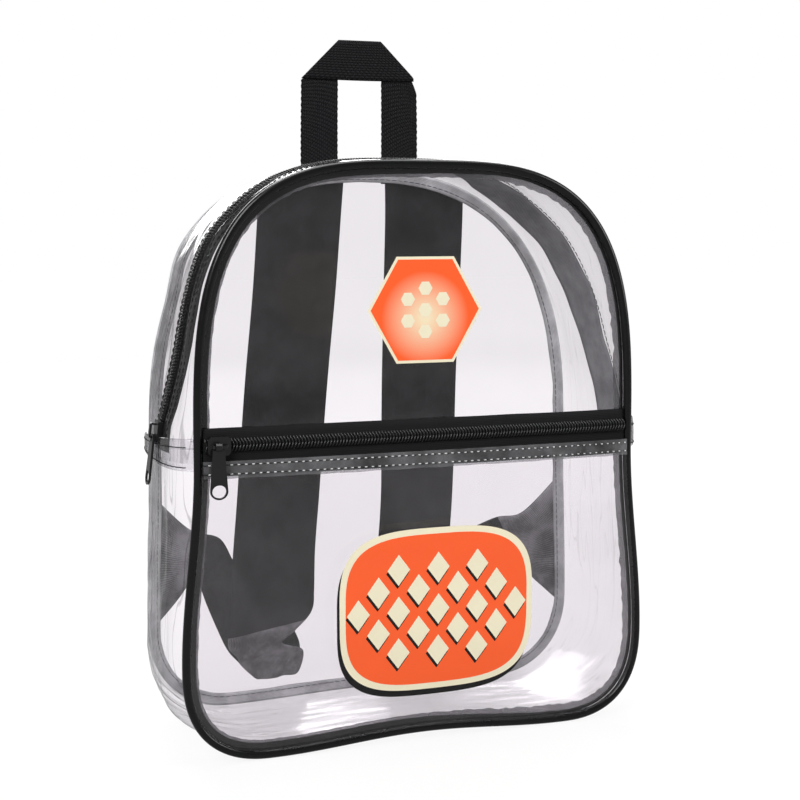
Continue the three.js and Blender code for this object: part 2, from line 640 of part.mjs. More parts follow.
handleMesh.position.set(handleShift, behindBack, 0);

// Shoulder straps: flat bands that follow their course; side is -1 for the left one
function strap(course, side) {
  const columns = [-0.5, -0.17, 0.17, 0.5];
  const behindHandle = behindBack + webbingThick + gap + strapThick / 2;
  const behindPanel = behindBack + strapThick / 2;
  const grid = course.map((row, k) => {
    const turn = THREE.MathUtils.degToRad(side < 0 ? row.turn : -row.turn);
    const least = k === 0 ? behindHandle : behindPanel;
    const y = Math.max(least, backPlane + row.away * strapReach);
    return columns.map((c) => new THREE.Vector3(
      side * row.side * backShape.footHalf + c * row.wide * strapWide * Math.cos(turn),
      y,
      row.up * bagHeight + c * row.wide * strapWide * Math.sin(turn),
    ));
  });
  return thickSheet(grid, strapThick);
}
add(bag, "shoulder_strap_left", strap(leftStrapCourse, -1), blackCloth);
add(bag, "shoulder_strap_right", strap(rightStrapCourse, 1), blackCloth);

bag.updateMatrixWorld(true);
const box = new THREE.Box3().setFromObject(bag, true);
const middle = box.getCenter(new THREE.Vector3());
bag.position.set(-middle.x, -middle.y, -box.min.z);
bag.updateMatrixWorld(true);

export default bag;
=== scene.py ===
# %% [markdown]
# # A clear backpack
# The bag is clear vinyl film on a black piped edge, with black zips, a webbing handle and wide
# shoulder straps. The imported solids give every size. Here each soft piece is made again with its
# folds, stitches and weave, in the same place.

# %% Load the frame
import math

import bmesh
import bpy
import numpy as np
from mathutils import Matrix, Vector, noise


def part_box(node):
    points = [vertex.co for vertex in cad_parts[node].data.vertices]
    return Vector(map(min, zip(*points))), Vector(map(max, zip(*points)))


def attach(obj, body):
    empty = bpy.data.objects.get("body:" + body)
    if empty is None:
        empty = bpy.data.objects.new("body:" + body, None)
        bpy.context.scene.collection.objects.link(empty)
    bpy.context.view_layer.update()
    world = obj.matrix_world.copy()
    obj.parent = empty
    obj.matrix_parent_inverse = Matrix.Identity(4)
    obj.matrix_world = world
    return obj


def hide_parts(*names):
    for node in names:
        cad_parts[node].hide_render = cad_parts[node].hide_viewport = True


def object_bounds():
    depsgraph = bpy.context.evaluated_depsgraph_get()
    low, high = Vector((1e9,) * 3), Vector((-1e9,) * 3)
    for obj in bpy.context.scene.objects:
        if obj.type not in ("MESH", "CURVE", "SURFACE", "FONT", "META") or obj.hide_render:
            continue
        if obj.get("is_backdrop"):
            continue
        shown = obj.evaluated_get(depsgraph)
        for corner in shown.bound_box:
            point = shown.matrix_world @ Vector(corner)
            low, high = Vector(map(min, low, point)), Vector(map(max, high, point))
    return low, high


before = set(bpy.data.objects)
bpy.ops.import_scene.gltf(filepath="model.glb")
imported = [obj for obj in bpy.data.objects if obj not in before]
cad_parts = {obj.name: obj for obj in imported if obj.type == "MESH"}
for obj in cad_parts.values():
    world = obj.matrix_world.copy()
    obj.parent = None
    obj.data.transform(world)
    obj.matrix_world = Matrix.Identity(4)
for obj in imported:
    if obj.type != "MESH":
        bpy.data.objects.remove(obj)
solid_box = [list(map(float, corner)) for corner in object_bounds()]
print("solids", len(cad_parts), "in the box", solid_box)

# %% [markdown]
# ## The bag's own measure
# A bag is drawn in millimetres from one corner of its pattern, and so are the pieces here: x from
# the middle, y behind the piped edge and z above the lowest point of the piping's centre line.
# The front panel's box says where that corner is in the frame, so nothing has to be fitted by eye.

# %% Sizes and the way from millimetres to the frame
HEIGHT = 299.0
DEPTH = 92.0
SEAM = 151.0
CORD = 2.3
FILM = 1.0
GAP = 0.3
TAPE = 0.9
FLANGE = 0.8
BINDING = 1.2
FRONT_FACE = 0.7
PANEL_INSET = CORD + GAP
FRONT = dict(foot=126.4, waist=118.9, flat=82.0, corner=47.0, corner_power=2.45,
             arch_power=3.3, rise=4.0, low=0.0)
BACK = dict(foot=128.2, waist=125.8, flat=82.0, corner=47.0, corner_power=2.1,
            arch_power=2.45, rise=2.0, low=-CORD, swell=7.0)
SWELL_AT, SWELL_SPAN = 30.6, 2.3

panel_low, panel_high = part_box("front_panel")
corner = np.array([(panel_low.x + panel_high.x) / 2, panel_low.y - FRONT_FACE / 1000,
                   panel_high.z - (HEIGHT - PANEL_INSET) / 1000])
print("pattern corner in the frame", corner)


def in_frame(points):
    """Pattern millimetres to the frame's metres."""
    return corner + np.asarray(points, dtype=float) / 1000


# %% [markdown]
# ## Outlines
# Front and back panels have the same kind of edge: a slightly arched bottom, tight lower corners,
# sides that taper to the side seams and a round arch. One function gives any point of it, so the
# side film, the tapes and the stitches all follow the same line.

# %% Edge of a panel
BOTTOM_END, CORNER_END, SEAM_AT, TOP_AT = 3.0, 9.0, 13.0, 25.0
ROUND = 2 * TOP_AT
LEFT_SEAM = ROUND - SEAM_AT


def lerp(a, b, t):
    return a + (b - a) * t


def smooth(t):
    t = np.clip(t, 0.0, 1.0)
    return t * t * (3 - 2 * t)


def quarter(t, start, end):
    """Angle from nought to a right angle as t runs from start to end."""
    return math.pi / 2 * np.clip((t - start) / (end - start), 0, 1)


def edge_points(edge, t):
    """Points (x, z) of an edge; t runs from the bottom middle to the right, over the top and back."""
    t = np.mod(np.asarray(t, dtype=float), ROUND)
    half = np.where(t > TOP_AT, ROUND - t, t)
    along = np.clip(half / BOTTOM_END, 0, 1)
    bottom = edge["flat"] * along, edge["low"] + edge["rise"] * (1 + np.cos(np.pi * along)) / 2
    angle, power = quarter(half, BOTTOM_END, CORNER_END), 2 / edge["corner_power"]
    tight = (edge["flat"] + (edge["foot"] - edge["flat"]) * np.sin(angle) ** power,
             edge["low"] + edge["corner"] * (1 - np.maximum(np.cos(angle), 0) ** power))
    along = np.clip((half - CORNER_END) / (SEAM_AT - CORNER_END), 0, 1)
    side = lerp(edge["foot"], edge["waist"], smooth(along)), lerp(edge["low"] + edge["corner"], SEAM, along)
    angle, power = quarter(half, SEAM_AT, TOP_AT), 2 / edge["arch_power"]
    arch = (edge["waist"] * np.maximum(np.cos(angle), 0) ** power,
            SEAM + (HEIGHT - SEAM) * np.sin(angle) ** power)
    zones = [half <= BOTTOM_END, half <= CORNER_END, half <= SEAM_AT]
    x, z = (np.select(zones, [bottom[k], tight[k], side[k]], arch[k]) for k in (0, 1))
    # The near shoulder of the back is pushed out a little further than the far one
    push = edge.get("swell", 0) * np.exp(-(((t - SWELL_AT) / SWELL_SPAN) ** 4)) / np.hypot(x, z - SEAM)
    x, z = x * (1 + push), z + (z - SEAM) * push
    return np.stack([np.where(t > TOP_AT, -x, x), z], axis=-1)


def edge_normals(edge, t):
    step = edge_points(edge, np.asarray(t) + 0.02) - edge_points(edge, np.asarray(t) - 0.02)
    step = step / np.linalg.norm(step, axis=-1, keepdims=True)
    return np.stack([step[..., 1], -step[..., 0]], axis=-1)


def inset_points(edge, t, distance):
    return edge_points(edge, t) - edge_normals(edge, t) * np.asarray(distance)[..., None]


def triples(x, y, z):
    """Points from x, y and z, any of which may be one number for all."""
    return np.stack(np.broadcast_arrays(x, y, z), axis=-1).astype(float)


# %% Even stations along an edge
around = np.linspace(0, 2 * ROUND, 12001)
steps = np.linalg.norm(np.diff(edge_points(FRONT, around), axis=0), axis=1)
run_length = np.concatenate([[0], np.cumsum(steps)])
EDGE_LENGTH = float(run_length[-1]) / 2


def stations(start, end, count):
    """Values of t, evenly spaced in real length along the front edge."""
    if end <= start:
        end += ROUND
    lengths = np.linspace(*np.interp([start, end], around, run_length), count)
    return np.interp(lengths, run_length, around)


print("length round the front edge, mm:", round(EDGE_LENGTH, 1))

# %% [markdown]
# ## Side film
# The side film runs from the piping back to the rear seam. It leaves the front seam quickly,
# bellies out, and eases down to the back. The zip tape, the coils and the stitched laps lie on it,
# so a point of it can be lifted off along its own outward direction.

# %% A point of the side film
FILM_START = FRONT_FACE + FILM + GAP + FLANGE + GAP + FILM / 2
FILM_END = DEPTH - FILM / 2 - GAP - BINDING - GAP - FILM / 2
ZIP_DEPTH = 38.0
LOWER_BELLY, UPPER_BELLY, SEAM_BELLY = 10.5, 5.5, 2.0


def film_points(t, s):
    """Middle of the side film at edge positions t and shares s of its depth."""
    t, s = np.broadcast_arrays(np.asarray(t, dtype=float), np.clip(s, 0, 1))
    share = s[..., None]
    place = lerp(edge_points(FRONT, t), edge_points(BACK, t), share)
    out = lerp(edge_normals(FRONT, t), edge_normals(BACK, t), share)
    z = place[..., 1]
    upright = smooth((out[..., 1] + 1) / 0.75)
    near_seam = np.exp(-(((z - SEAM) / (0.11 * HEIGHT)) ** 2))
    height = smooth((z - SEAM) / (0.2 * HEIGHT))
    rounding = np.sqrt(1 - (1 - s) ** 9) * np.maximum(1 - s ** 1.8, 0) ** 0.7
    belly = (lerp(LOWER_BELLY, UPPER_BELLY, height) + SEAM_BELLY * near_seam) * upright * rounding
    move = belly - lerp(CORD - GAP, 1.2, s)
    return triples(place[..., 0] + out[..., 0] * move, lerp(FILM_START, FILM_END, s),
                   z + out[..., 1] * move)


def film_normals(t, s):
    t, s = np.asarray(t, dtype=float), np.asarray(s, dtype=float)
    along = film_points(t + 0.05, s) - film_points(t - 0.05, s)
    across = film_points(t, s + 0.01) - film_points(t, s - 0.01)
    normal = np.cross(across, along)
    return normal / np.linalg.norm(normal, axis=-1, keepdims=True)


def depth_share(y):
    return (y - FILM_START) / (FILM_END - FILM_START)


def on_film(t, y, lift):
    """Points at a distance y behind the piping, lifted off the middle of the film."""
    s = depth_share(np.asarray(y, dtype=float))
    return film_points(t, s) + film_normals(t, s) * np.asarray(lift, dtype=float)[..., None]


# Height of the front edge, and how far behind its mean depth the zip lies there
FAR_SIDE_SLACK = [(151, -1), (170, 0), (187, 2), (207, 8), (227, 13), (247, 18), (266, 22),
                  (283, 27), (292, 24), (299, 10)]
NEAR_SIDE_SLACK = [(151, 0), (170, 0), (180, -5), (197, -9), (212, -12), (227, -13), (240, -12),
                   (253, -13), (262, -14), (269, -17), (275, -20), (281, -21), (287, -20),
                   (293, -14), (297, -6), (299, 0)]


def wander(t):
    """How far the zip strays from its mean depth: the two sides hang differently."""
    t = np.mod(t, ROUND)
    x, z = np.moveaxis(edge_points(FRONT, t), -1, 0)
    far = smooth((x - 15) / 55) * np.interp(z, *zip(*FAR_SIDE_SLACK))
    return far + (x < 0) * np.interp(z, *zip(*NEAR_SIDE_SLACK))


# %% [markdown]
# ## Turning rows of points into pieces
# Nearly every piece of a bag is a strip or a sheet, so one helper takes rows of points and makes a
# mesh of them: a bare sheet for film, which is too thin for its edge to show, or a closed wall for
# tape, webbing and straps. It keeps a UV map in real metres, so a weave can follow the strip.

# %% Mesh helpers
def ripple(x, y, seed):
    """Smooth random numbers from about -1 to 1 that always come out the same."""
    stack = triples(x, y, seed * 7.31)
    flat = [noise.noise(Vector(place)) for place in stack.reshape(-1, 3).tolist()]
    return np.array(flat).reshape(stack.shape[:-1])


def grid_normals(grid, closed):
    if closed:
        along = np.roll(grid, -1, axis=0) - np.roll(grid, 1, axis=0)
    else:
        along = np.gradient(grid, axis=0)
    across = np.gradient(grid, axis=1)
    normal = np.cross(along, across)
    length = np.linalg.norm(normal, axis=2, keepdims=True)
    return normal / np.maximum(length, 1e-9)


def real_lengths(grid):
    """UV values in metres from the distances along the middle row and column."""
    rows, columns = grid.shape[:2]
    down, over = grid[:, columns // 2], grid[rows // 2]
    v, u = (np.concatenate([[0], np.cumsum(np.linalg.norm(np.diff(line, axis=0), axis=1))]) / 1000
            for line in (down, over))
    return np.stack(np.meshgrid(u - u[-1] / 2, v), axis=2).reshape(-1, 2)


def scene_object(name, data):
    made = bpy.data.objects.new(name, data)
    bpy.context.scene.collection.objects.link(made)
    return made


def new_piece(name, vertices, faces, material, uv=None):
    mesh = bpy.data.meshes.new(name)
    mesh.from_pydata([tuple(p) for p in in_frame(vertices)], [], [tuple(f) for f in faces])
    if uv is not None:
        layer = mesh.uv_layers.new(name="cloth")
        loops = np.zeros(len(mesh.loops), dtype=np.int32)
        mesh.loops.foreach_get("vertex_index", loops)
        layer.data.foreach_set("uv", np.asarray(uv)[loops].ravel())
    mesh.polygons.foreach_set("use_smooth", [True] * len(mesh.polygons))
    mesh.materials.append(material)
    mesh.update()
    return scene_object(name, mesh)


def settle(piece, stands_for=None, body="bag"):
    """Say which body carries a piece and hide the solid it stands for."""
    if stands_for:
        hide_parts(stands_for)
    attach(piece, body)
    return piece


def sheet_faces(rows, columns, closed=False, flip=False):
    faces = []
    for i in range(rows if closed else rows - 1):
        for j in range(columns - 1):
            a, b = i * columns + j, ((i + 1) % rows) * columns + j
            face = [a, b, b + 1, a + 1]
            faces.append(face[::-1] if flip else face)
    return faces


def sheet_piece(name, grid, material, closed=False, flip=False):
    """Single sheet; its front is the side that rows x columns points to, unless flipped."""
    grid = np.asarray(grid, dtype=float)
    rows, columns = grid.shape[:2]
    faces = sheet_faces(rows, columns, closed, flip)
    return new_piece(name, grid.reshape(-1, 3), faces, material, real_lengths(grid))


def wall_piece(name, grid, thickness, material, closed=False, soft_edge=True):
    """Closed wall of even thickness about a grid, with rounded long edges."""
    grid = np.asarray(grid, dtype=float)
    rows, columns = grid.shape[:2]
    normal = grid_normals(grid, closed)
    profile = np.ones(columns)
    if soft_edge:
        profile[0] = profile[-1] = 0.45
    half = normal * (thickness / 2) * profile[None, :, None]
    vertices = np.concatenate([(grid + half).reshape(-1, 3), (grid - half).reshape(-1, 3)])
    uv = real_lengths(grid)
    count = rows * columns
    faces = sheet_faces(rows, columns, closed)
    faces += [[i + count for i in f[::-1]] for f in faces]
    for i in range(rows if closed else rows - 1):
        a, b = i * columns, ((i + 1) % rows) * columns
        faces.append([a, a + count, b + count, b])
        a, b = a + columns - 1, b + columns - 1
        faces.append([a, b, b + count, a + count])
    if not closed:
        for j in range(columns - 1):
            faces.append([j, j + 1, j + 1 + count, j + count])
            last = (rows - 1) * columns
            faces.append([last + j, last + j + count, last + j + 1 + count, last + j + 1])
    piece = new_piece(name, vertices, faces, material, np.concatenate([uv, uv]))
    outward_faces(piece)
    return piece


def outward_faces(piece):
    """Turn a closed mesh the right way out by the sign of its volume."""
    mesh = piece.data
    points = np.array([v.co for v in mesh.vertices])
    middle = points.mean(axis=0)
    total = 0.0
    for face in mesh.polygons:
        ring = points[list(face.vertices)] - middle
        for k in range(1, len(ring) - 1):
            total += np.dot(ring[0], np.cross(ring[k], ring[k + 1]))
    if total < 0:
        mesh.flip_normals()


def smooth_line(points, count):
    """Catmull-Rom curve through rows of numbers, at even steps of the row number."""
    points = np.asarray(points, dtype=float)
    last = len(points) - 1
    out = []
    for u in np.linspace(0, last, count):
        i = min(int(u), last - 1)
        f = u - i
        p0, p1, p2, p3 = (points[min(last, max(0, k))] for k in (i - 1, i, i + 1, i + 2))
        out.append(0.5 * (2 * p1 + (p2 - p0) * f + (2 * p0 - 5 * p1 + 4 * p2 - p3) * f ** 2
                          + (3 * p1 - p0 - 3 * p2 + p3) * f ** 3))
    return np.array(out)


# %% [markdown]
# ## Colours and nodes
# Colours are written as they look on a screen. Blender's shaders want linear light, so one function
# turns the hex value. A second small function adds a shader node with its settings and links.

# %% Colour and node helpers
def colour(hex_value):
    channels = [int(hex_value[i:i + 2], 16) / 255 for i in (1, 3, 5)]
    return tuple(c / 12.92 if c <= 0.04045 else ((c + 0.055) / 1.055) ** 2.4 for c in channels) + (1.0,)


def node(tree, kind, inputs=None, **settings):
    """Add a node, set its properties, and fill or link its inputs by name or number."""
    made = tree.nodes.new(kind)
    for name, value in settings.items():
        setattr(made, name, value)
    for key, value in (inputs or {}).items():
        socket = made.inputs[key]
        if isinstance(value, bpy.types.NodeSocket):
            tree.links.new(value, socket)
        else:
            socket.default_value = value
    return made
def sums(tree, operation, *values):
    """One step of arithmetic with sockets and numbers."""
    return node(tree, "ShaderNodeMath", dict(enumerate(values)), operation=operation).outputs[0]


def blended(tree, share, first, second):
    """Blend of two colours, each a hex value or a socket."""
    first, second = (colour(c) if isinstance(c, str) else c for c in (first, second))
    return node(tree, "ShaderNodeMix", {0: share, 6: first, 7: second}, data_type="RGBA").outputs[2]


def ranged(tree, value, low, high, to_low, to_high):
    """Value mapped from one range to another and held at the ends."""
    return node(tree, "ShaderNodeMapRange", {"Value": value, "From Min": low, "From Max": high,
                                             "To Min": to_low, "To Max": to_high}).outputs["Result"]


def mottle(tree, place, scale, detail, roughness=0.5):
    """Noise with about scale features to the metre."""
    return node(tree, "ShaderNodeTexNoise", {"Vector": place, "Scale": scale, "Detail": detail,
                                             "Roughness": roughness}).outputs["Fac"]


def bumped(tree, strength, distance, height):
    return node(tree, "ShaderNodeBump", {"Strength": strength, "Distance": distance,
                                         "Height": height}).outputs["Normal"]


def object_place(tree):
    return node(tree, "ShaderNodeTexCoord").outputs["Object"]


def cloth_place(tree):
    return node(tree, "ShaderNodeUVMap", uv_map="cloth").outputs["UV"]


def surface(tree, **inputs):
    """Principled shader whose inputs are given with underscores for spaces."""
    return node(tree, "ShaderNodeBsdfPrincipled",
                {key.replace("_", " "): value for key, value in inputs.items()}).outputs[0]

def new_material(name):
    material = bpy.data.materials.new(name)
    material.use_nodes = True
    tree = material.node_tree
    tree.nodes.clear()
    return material, tree


def finish_material(tree, shader):
    node(tree, "ShaderNodeOutputMaterial", {"Surface": shader})


# %% [markdown]
# ## Clear vinyl film
# The panels are calendered soft PVC, about half a millimetre thick. Nearly all light goes straight
# through, a little is mirrored, more so at a glancing angle, and a faint haze from handling lifts
# what lies behind. A glass shader would bend the view through every sheet, so the film is a see
# through shader mixed with a glossy one, the share of gloss set by the Fresnel law for PVC.

# %% Film material
FILM_INDEX = 1.53


def clear_film(name, tint, edge_shade_tint, haze, haze_colour, crease, crease_size, crease_shade=0.0):
    material, tree = new_material(name)
    place = object_place(tree)
    # Shallow waves a few centimetres long, as soft film has wherever it hangs free
    normal = bumped(tree, 1.0, crease, mottle(tree, place, 1 / crease_size, 2.0, 0.4))
    # A face seen from behind counts as the inside of a solid, so the index is turned over there
    behind = node(tree, "ShaderNodeNewGeometry").outputs["Backfacing"]
    index = sums(tree, "POWER", FILM_INDEX, sums(tree, "MULTIPLY_ADD", behind, -2.0, 1.0))
    gloss_share = node(tree, "ShaderNodeFresnel", {"IOR": index, "Normal": normal}).outputs["Fac"]
    # Haze comes in soft patches a couple of centimetres across
    patches = mottle(tree, place, 48.0, 4.0, 0.6)
    haze_share = ranged(tree, patches, 0.35, 0.7, 0.35 * haze, 1.6 * haze)
    # Film seen edge on is darker: a little from the longer way light takes through it, the rest painted
    # shade in place of light bent away at its folds
    facing = node(tree, "ShaderNodeLayerWeight", {"Blend": 0.35, "Normal": normal}).outputs["Facing"]
    passed_with_edge_shade = blended(tree, sums(tree, "POWER", facing, 2.5), tint, edge_shade_tint)
    # Painted shade: fine dark crease lines, some centimetres long, run along the strip in place of light
    # bent away at the folds
    drawn = node(tree, "ShaderNodeMapping", {"Vector": cloth_place(tree), "Scale": (130.0, 13.0, 1.0)})
    level = sums(tree, "SUBTRACT", mottle(tree, drawn.outputs[0], 1.0, 1.0), 0.5)
    # They are strong on the near side and faint elsewhere
    sideways = node(tree, "ShaderNodeSeparateXYZ", {"Vector": place}).outputs["X"]
    strength = ranged(tree, sideways, -0.105, -0.06, crease_shade, 0.3 * crease_shade)
    line = ranged(tree, sums(tree, "ABSOLUTE", level), 0.002, 0.012, strength, 0.0)
    crease_shaded_tint = blended(tree, line, passed_with_edge_shade, "#3A3A3C")
    through = node(tree, "ShaderNodeBsdfTransparent", {"Color": crease_shaded_tint}).outputs[0]
    veil = surface(tree, Base_Color=colour(haze_colour), Roughness=0.6, Specular_IOR_Level=0.2)
    shine = surface(tree, Base_Color=colour("#FFFFFF"), Metallic=1.0, Roughness=0.16, Normal=normal)
    hazed = node(tree, "ShaderNodeMixShader", {"Fac": haze_share, 1: through, 2: veil}).outputs[0]
    shown = node(tree, "ShaderNodeMixShader", {"Fac": gloss_share, 1: hazed, 2: shine}).outputs[0]
    finish_material(tree, shown)
    return material


# Tints face on and edge on (the edge-on tint partly painted shade), haze and its colour, depth and length
# of the waves, strength of the painted crease shade
panel_film = clear_film("calendered_pvc_film", "#F9F7F9", "#C8C6C9", 0.012, "#D9D9DC", 0.0004, 0.06)
side_film = clear_film("creased_pvc_film", "#F6F4F6", "#88878A", 0.02, "#C9C9CC", 0.0005, 0.05, 0.35)
base_film = clear_film("folded_pvc_film", "#FDFBFD", "#E8E7E9", 0.012, "#DDDDE0", 0.0003, 0.05, 0.35)
lap_film = clear_film("doubled_pvc_film", "#F6F5F7", "#8F8E92", 0.01, "#C9C9CC", 0.0003, 0.006, 0.2)
hem_film = clear_film("stitched_pvc_hem", "#C2C1C3", "#4A4A4C", 0.28, "#A4A4A7", 0.0005, 0.004, 0.3)

# %% [markdown]
# ## Black and grey materials
# The piping is extruded soft PVC over a cord: deep black with a long soft highlight. Zip tape and
# binding are woven polyester, the handle is ribbed polypropylene webbing, the straps are a plain
# weave. Each weave is worked out from its thread spacing and read from the strip's own UV map.

# %% Vinyl, nylon and enamel
def moulded(name, dark, light, roughness, grain, grain_size, coat=0.0, specular=0.22):
    """Smooth stuff with a grain whose depth and size are in metres."""
    material, tree = new_material(name)
    rough = mottle(tree, object_place(tree), 1 / grain_size, 4.0)
    finish_material(tree, surface(
        tree, Base_Color=blended(tree, rough, dark, light), Normal=bumped(tree, 0.5, grain, rough),
        Roughness=ranged(tree, rough, 0.0, 1.0, roughness * 0.75, roughness * 1.3),
        Specular_IOR_Level=specular, Coat_Weight=coat, Coat_Roughness=0.12))
    return material


# Darkest and lightest tint, roughness, depth and size of the grain, coat
piping_vinyl = moulded("extruded_black_pvc", "#050506", "#0B0B0C", 0.28, 0.00003, 0.006, 0.35)
flange_vinyl = moulded("crimped_black_pvc", "#050506", "#101011", 0.4, 0.0001, 0.003)
coil_nylon = moulded("black_nylon_coil", "#0A0A0C", "#141415", 0.27, 0.00002, 0.001, specular=0.6)
slider_enamel = moulded("black_enamel", "#0C0C0D", "#171718", 0.34, 0.00003, 0.0006, 0.3, 0.45)
thread_black = moulded("black_polyester_thread", "#171718", "#2A2A2B", 0.6, 0.00003, 0.0004)
# White specks at the needle holes: painted highlights of stretched film
needle_glint_paint = moulded("painted_pvc_glint", "#DCDCDC", "#F4F4F4", 0.3, 0.00002, 0.0004)
thread_grey = moulded("smoke_polyester_thread", "#3A3A3C", "#5C5C5E", 0.6, 0.00003, 0.0004)


# %% Woven tapes, webbing and strap cloth
def woven(name, dark, light, across, along, height, roughness, blotch=0.0):
    """Plain weave from the UV map: thread spacing across and along the strip in metres."""
    material, tree = new_material(name)
    cloth = node(tree, "ShaderNodeSeparateXYZ", {"Vector": cloth_place(tree)}).outputs

    def wave(value, spacing):
        turned = sums(tree, "MULTIPLY", value, math.pi / spacing)
        return sums(tree, "ABSOLUTE", sums(tree, "SINE", turned))

    # Every second thread is shifted by half a step, which gives the staggered dots of a weave
    row = sums(tree, "FLOOR", sums(tree, "DIVIDE", cloth["X"], across))
    odd = sums(tree, "FLOORED_MODULO", row, 2.0)
    pushed = sums(tree, "ADD", cloth["Y"], sums(tree, "MULTIPLY", odd, along * 0.5))
    # Crowns of the threads are painted light and the gaps dark: painted highlight and shade of the weave,
    # besides its bump; the blotches are wear
    crown = sums(tree, "MULTIPLY", wave(cloth["X"], across), wave(pushed, along))
    wear = mottle(tree, object_place(tree), 55.0, 5.0, 0.62)
    weave_shade_and_wear = sums(tree, "ADD", crown, sums(tree, "MULTIPLY_ADD", wear, blotch, -blotch / 2))
    finish_material(tree, surface(
        tree, Base_Color=blended(tree, weave_shade_and_wear, dark, light), Normal=bumped(tree, 0.9, height, crown),
        Roughness=roughness, Specular_IOR_Level=0.15))
    return material


# Tints of gap and thread (painted shade and highlight of the weave), spacing across and along, height of a
# thread, roughness, blotches
zip_tape = woven("black_polyester_tape", "#111112", "#242426", 0.0009, 0.0009, 0.00008, 0.8)
# Pale grey copy of the black tape for its inner faces: painted sheen in place of the haze and reflections
# of the two films in front of it
tape_inner_painted_sheen = woven("black_tape_painted_sheen", "#77777A", "#B0B0B3", 0.0009, 0.0009, 0.00008, 0.85, 2.2)
seam_binding = woven("smoke_grey_binding", "#9C9C9F", "#E4E4E7", 0.0008, 0.0008, 0.00006, 0.8, 2.8)
handle_webbing = woven("ribbed_polypropylene", "#050506", "#232326", 0.0014, 0.0021, 0.0003, 0.62)
# Pale copy of the strap cloth: painted sheen of the creased film in front of it
strap_cloth_painted_sheen = woven("nylon_painted_film_sheen", "#48484A", "#B4B4B7", 0.0007, 0.0007,
                           0.00003, 0.7, 3.4)
strap_cloth = woven("plain_weave_nylon", "#070708", "#2E2E31", 0.0007, 0.0007, 0.00002, 0.78, 3.2)

# %% [markdown]
# ## Camera
# The bag is seen from its left and a little above. The lens and place come from the photograph's
# own perspective, worked back from the piping and the pocket's zip.

# %% Camera
def aim(thing, target):
    direction = Vector(target) - thing.location
    thing.rotation_euler = direction.to_track_quat("-Z", "Y").to_euler()


CAMERA_AT, CAMERA_TARGET = (-287.9, -738.0, 271.6), (-13.0, 0.0, 179.0)
camera_data = bpy.data.cameras.new("camera")
camera = scene_object("camera", camera_data)
camera_data.sensor_width = 36.0
camera_data.lens = 69.495
camera.location = Vector(in_frame(CAMERA_AT))
aim(camera, in_frame(CAMERA_TARGET))
bpy.context.scene.camera = camera
print("camera", tuple(round(v, 4) for v in camera.location))

# %% [markdown]
# ## Front panel and pocket
# Both are flat pieces of film cut to the arch and caught in the piping. The front one is drawn
# tight. The pocket film is cut slack, so it stands off in the middle and has soft diagonal pulls.
# A square grid is stretched over each outline, so that the mesh is even and ends on the seam.

# %% Front and back panels
def filled_outline(edge, inset, count=70):
    """Even grid over a panel: its four sides are laid on four stretches of the edge."""
    low, high = 6.2, 19.5
    bottom = inset_points(edge, stations(ROUND - low, low, count), inset)
    right = inset_points(edge, stations(low, high, count), inset)
    top = inset_points(edge, stations(high, ROUND - high, count), inset)[::-1]
    left = inset_points(edge, stations(ROUND - high, ROUND - low, count), inset)[::-1]
    u = np.linspace(0, 1, count)[None, :, None]
    v = np.linspace(0, 1, count)[:, None, None]
    ruled = (1 - v) * bottom[None] + v * top[None] + (1 - u) * left[:, None] + u * right[:, None]
    corners = (1 - v) * ((1 - u) * bottom[0] + u * bottom[-1]) + v * ((1 - u) * top[0] + u * top[-1])
    return ruled - corners


def panel_sheet(name, edge, inset, y, slack, seed):
    flat = filled_outline(edge, inset)
    x, z = flat[..., 0], flat[..., 1]
    share = np.minimum(np.linspace(0, 2, len(flat)), np.linspace(2, 0, len(flat)))
    rim = smooth(3 * np.minimum(share[:, None], share[None, :]))
    wave = ripple(x / 46, z / 46, seed) + 0.4 * ripple(x / 17, z / 17, seed + 1)
    return sheet_piece(name, triples(x, y + slack * wave * rim, z), panel_film, flip=True)


front_film = panel_sheet("front_film", FRONT, inset=1.2, y=1.2, slack=0.5, seed=1)
back_film = panel_sheet("back_film", BACK, inset=0.3, y=DEPTH, slack=0.3, seed=2)
settle(front_film, "front_panel")
settle(back_film, "back_panel")
print("panels", len(front_film.data.polygons), "faces each")

# %% Pocket film
ZIP_HEIGHT = 160.5
POCKET_TOP = ZIP_HEIGHT + 8.4
TAPE_LOW = ZIP_HEIGHT - 15.6
HEM_TOP = ZIP_HEIGHT - 7.6
HEM_LOW = HEM_TOP - 8.6
TAPE_FORWARD = GAP + TAPE / 2
TAPE_FRONT = TAPE_FORWARD + TAPE / 2
POCKET_FORWARD = TAPE_FRONT + 1.3 * GAP + FILM / 2
HEM_FORWARD = POCKET_FORWARD + FILM + 1.3 * GAP
POCKET_SLACK = 7.0
right_line = inset_points(FRONT, np.linspace(BOTTOM_END, SEAM_AT + 3, 600), PANEL_INSET)


def pocket_half(z):
    """Half the pocket's width at a height."""
    return np.interp(z, right_line[:, 1], right_line[:, 0])


def pocket_stand(x, z):
    wide = np.maximum(0.0, 1 - (np.abs(x) / FRONT["foot"]) ** 3)
    high = np.maximum(0.0, 1 - np.abs(2 * z / POCKET_TOP - 1) ** 3)
    return POCKET_SLACK * wide * high


def on_pocket(x, z, forward):
    return triples(x, FRONT_FACE - forward - pocket_stand(x, z), z)


def pocket_folds(x, z):
    """Slack film is pulled from the lower corners towards the middle of the zip."""
    fold = 0.7 * ripple(x / 34, z / 34, 5) + 0.25 * ripple(x / 12, z / 12, 6)
    for side, strength in ((-1, 1.0), (1, 0.7)):
        across = (x - side * 92) * 0.78 + (z - 26) * side * 0.62
        reach = np.exp(-(((x - side * 62) / 52) ** 2) - (((z - 66) / 52) ** 2))
        fold = fold + strength * reach * np.sin(across / 6.5) * 0.5
    return fold


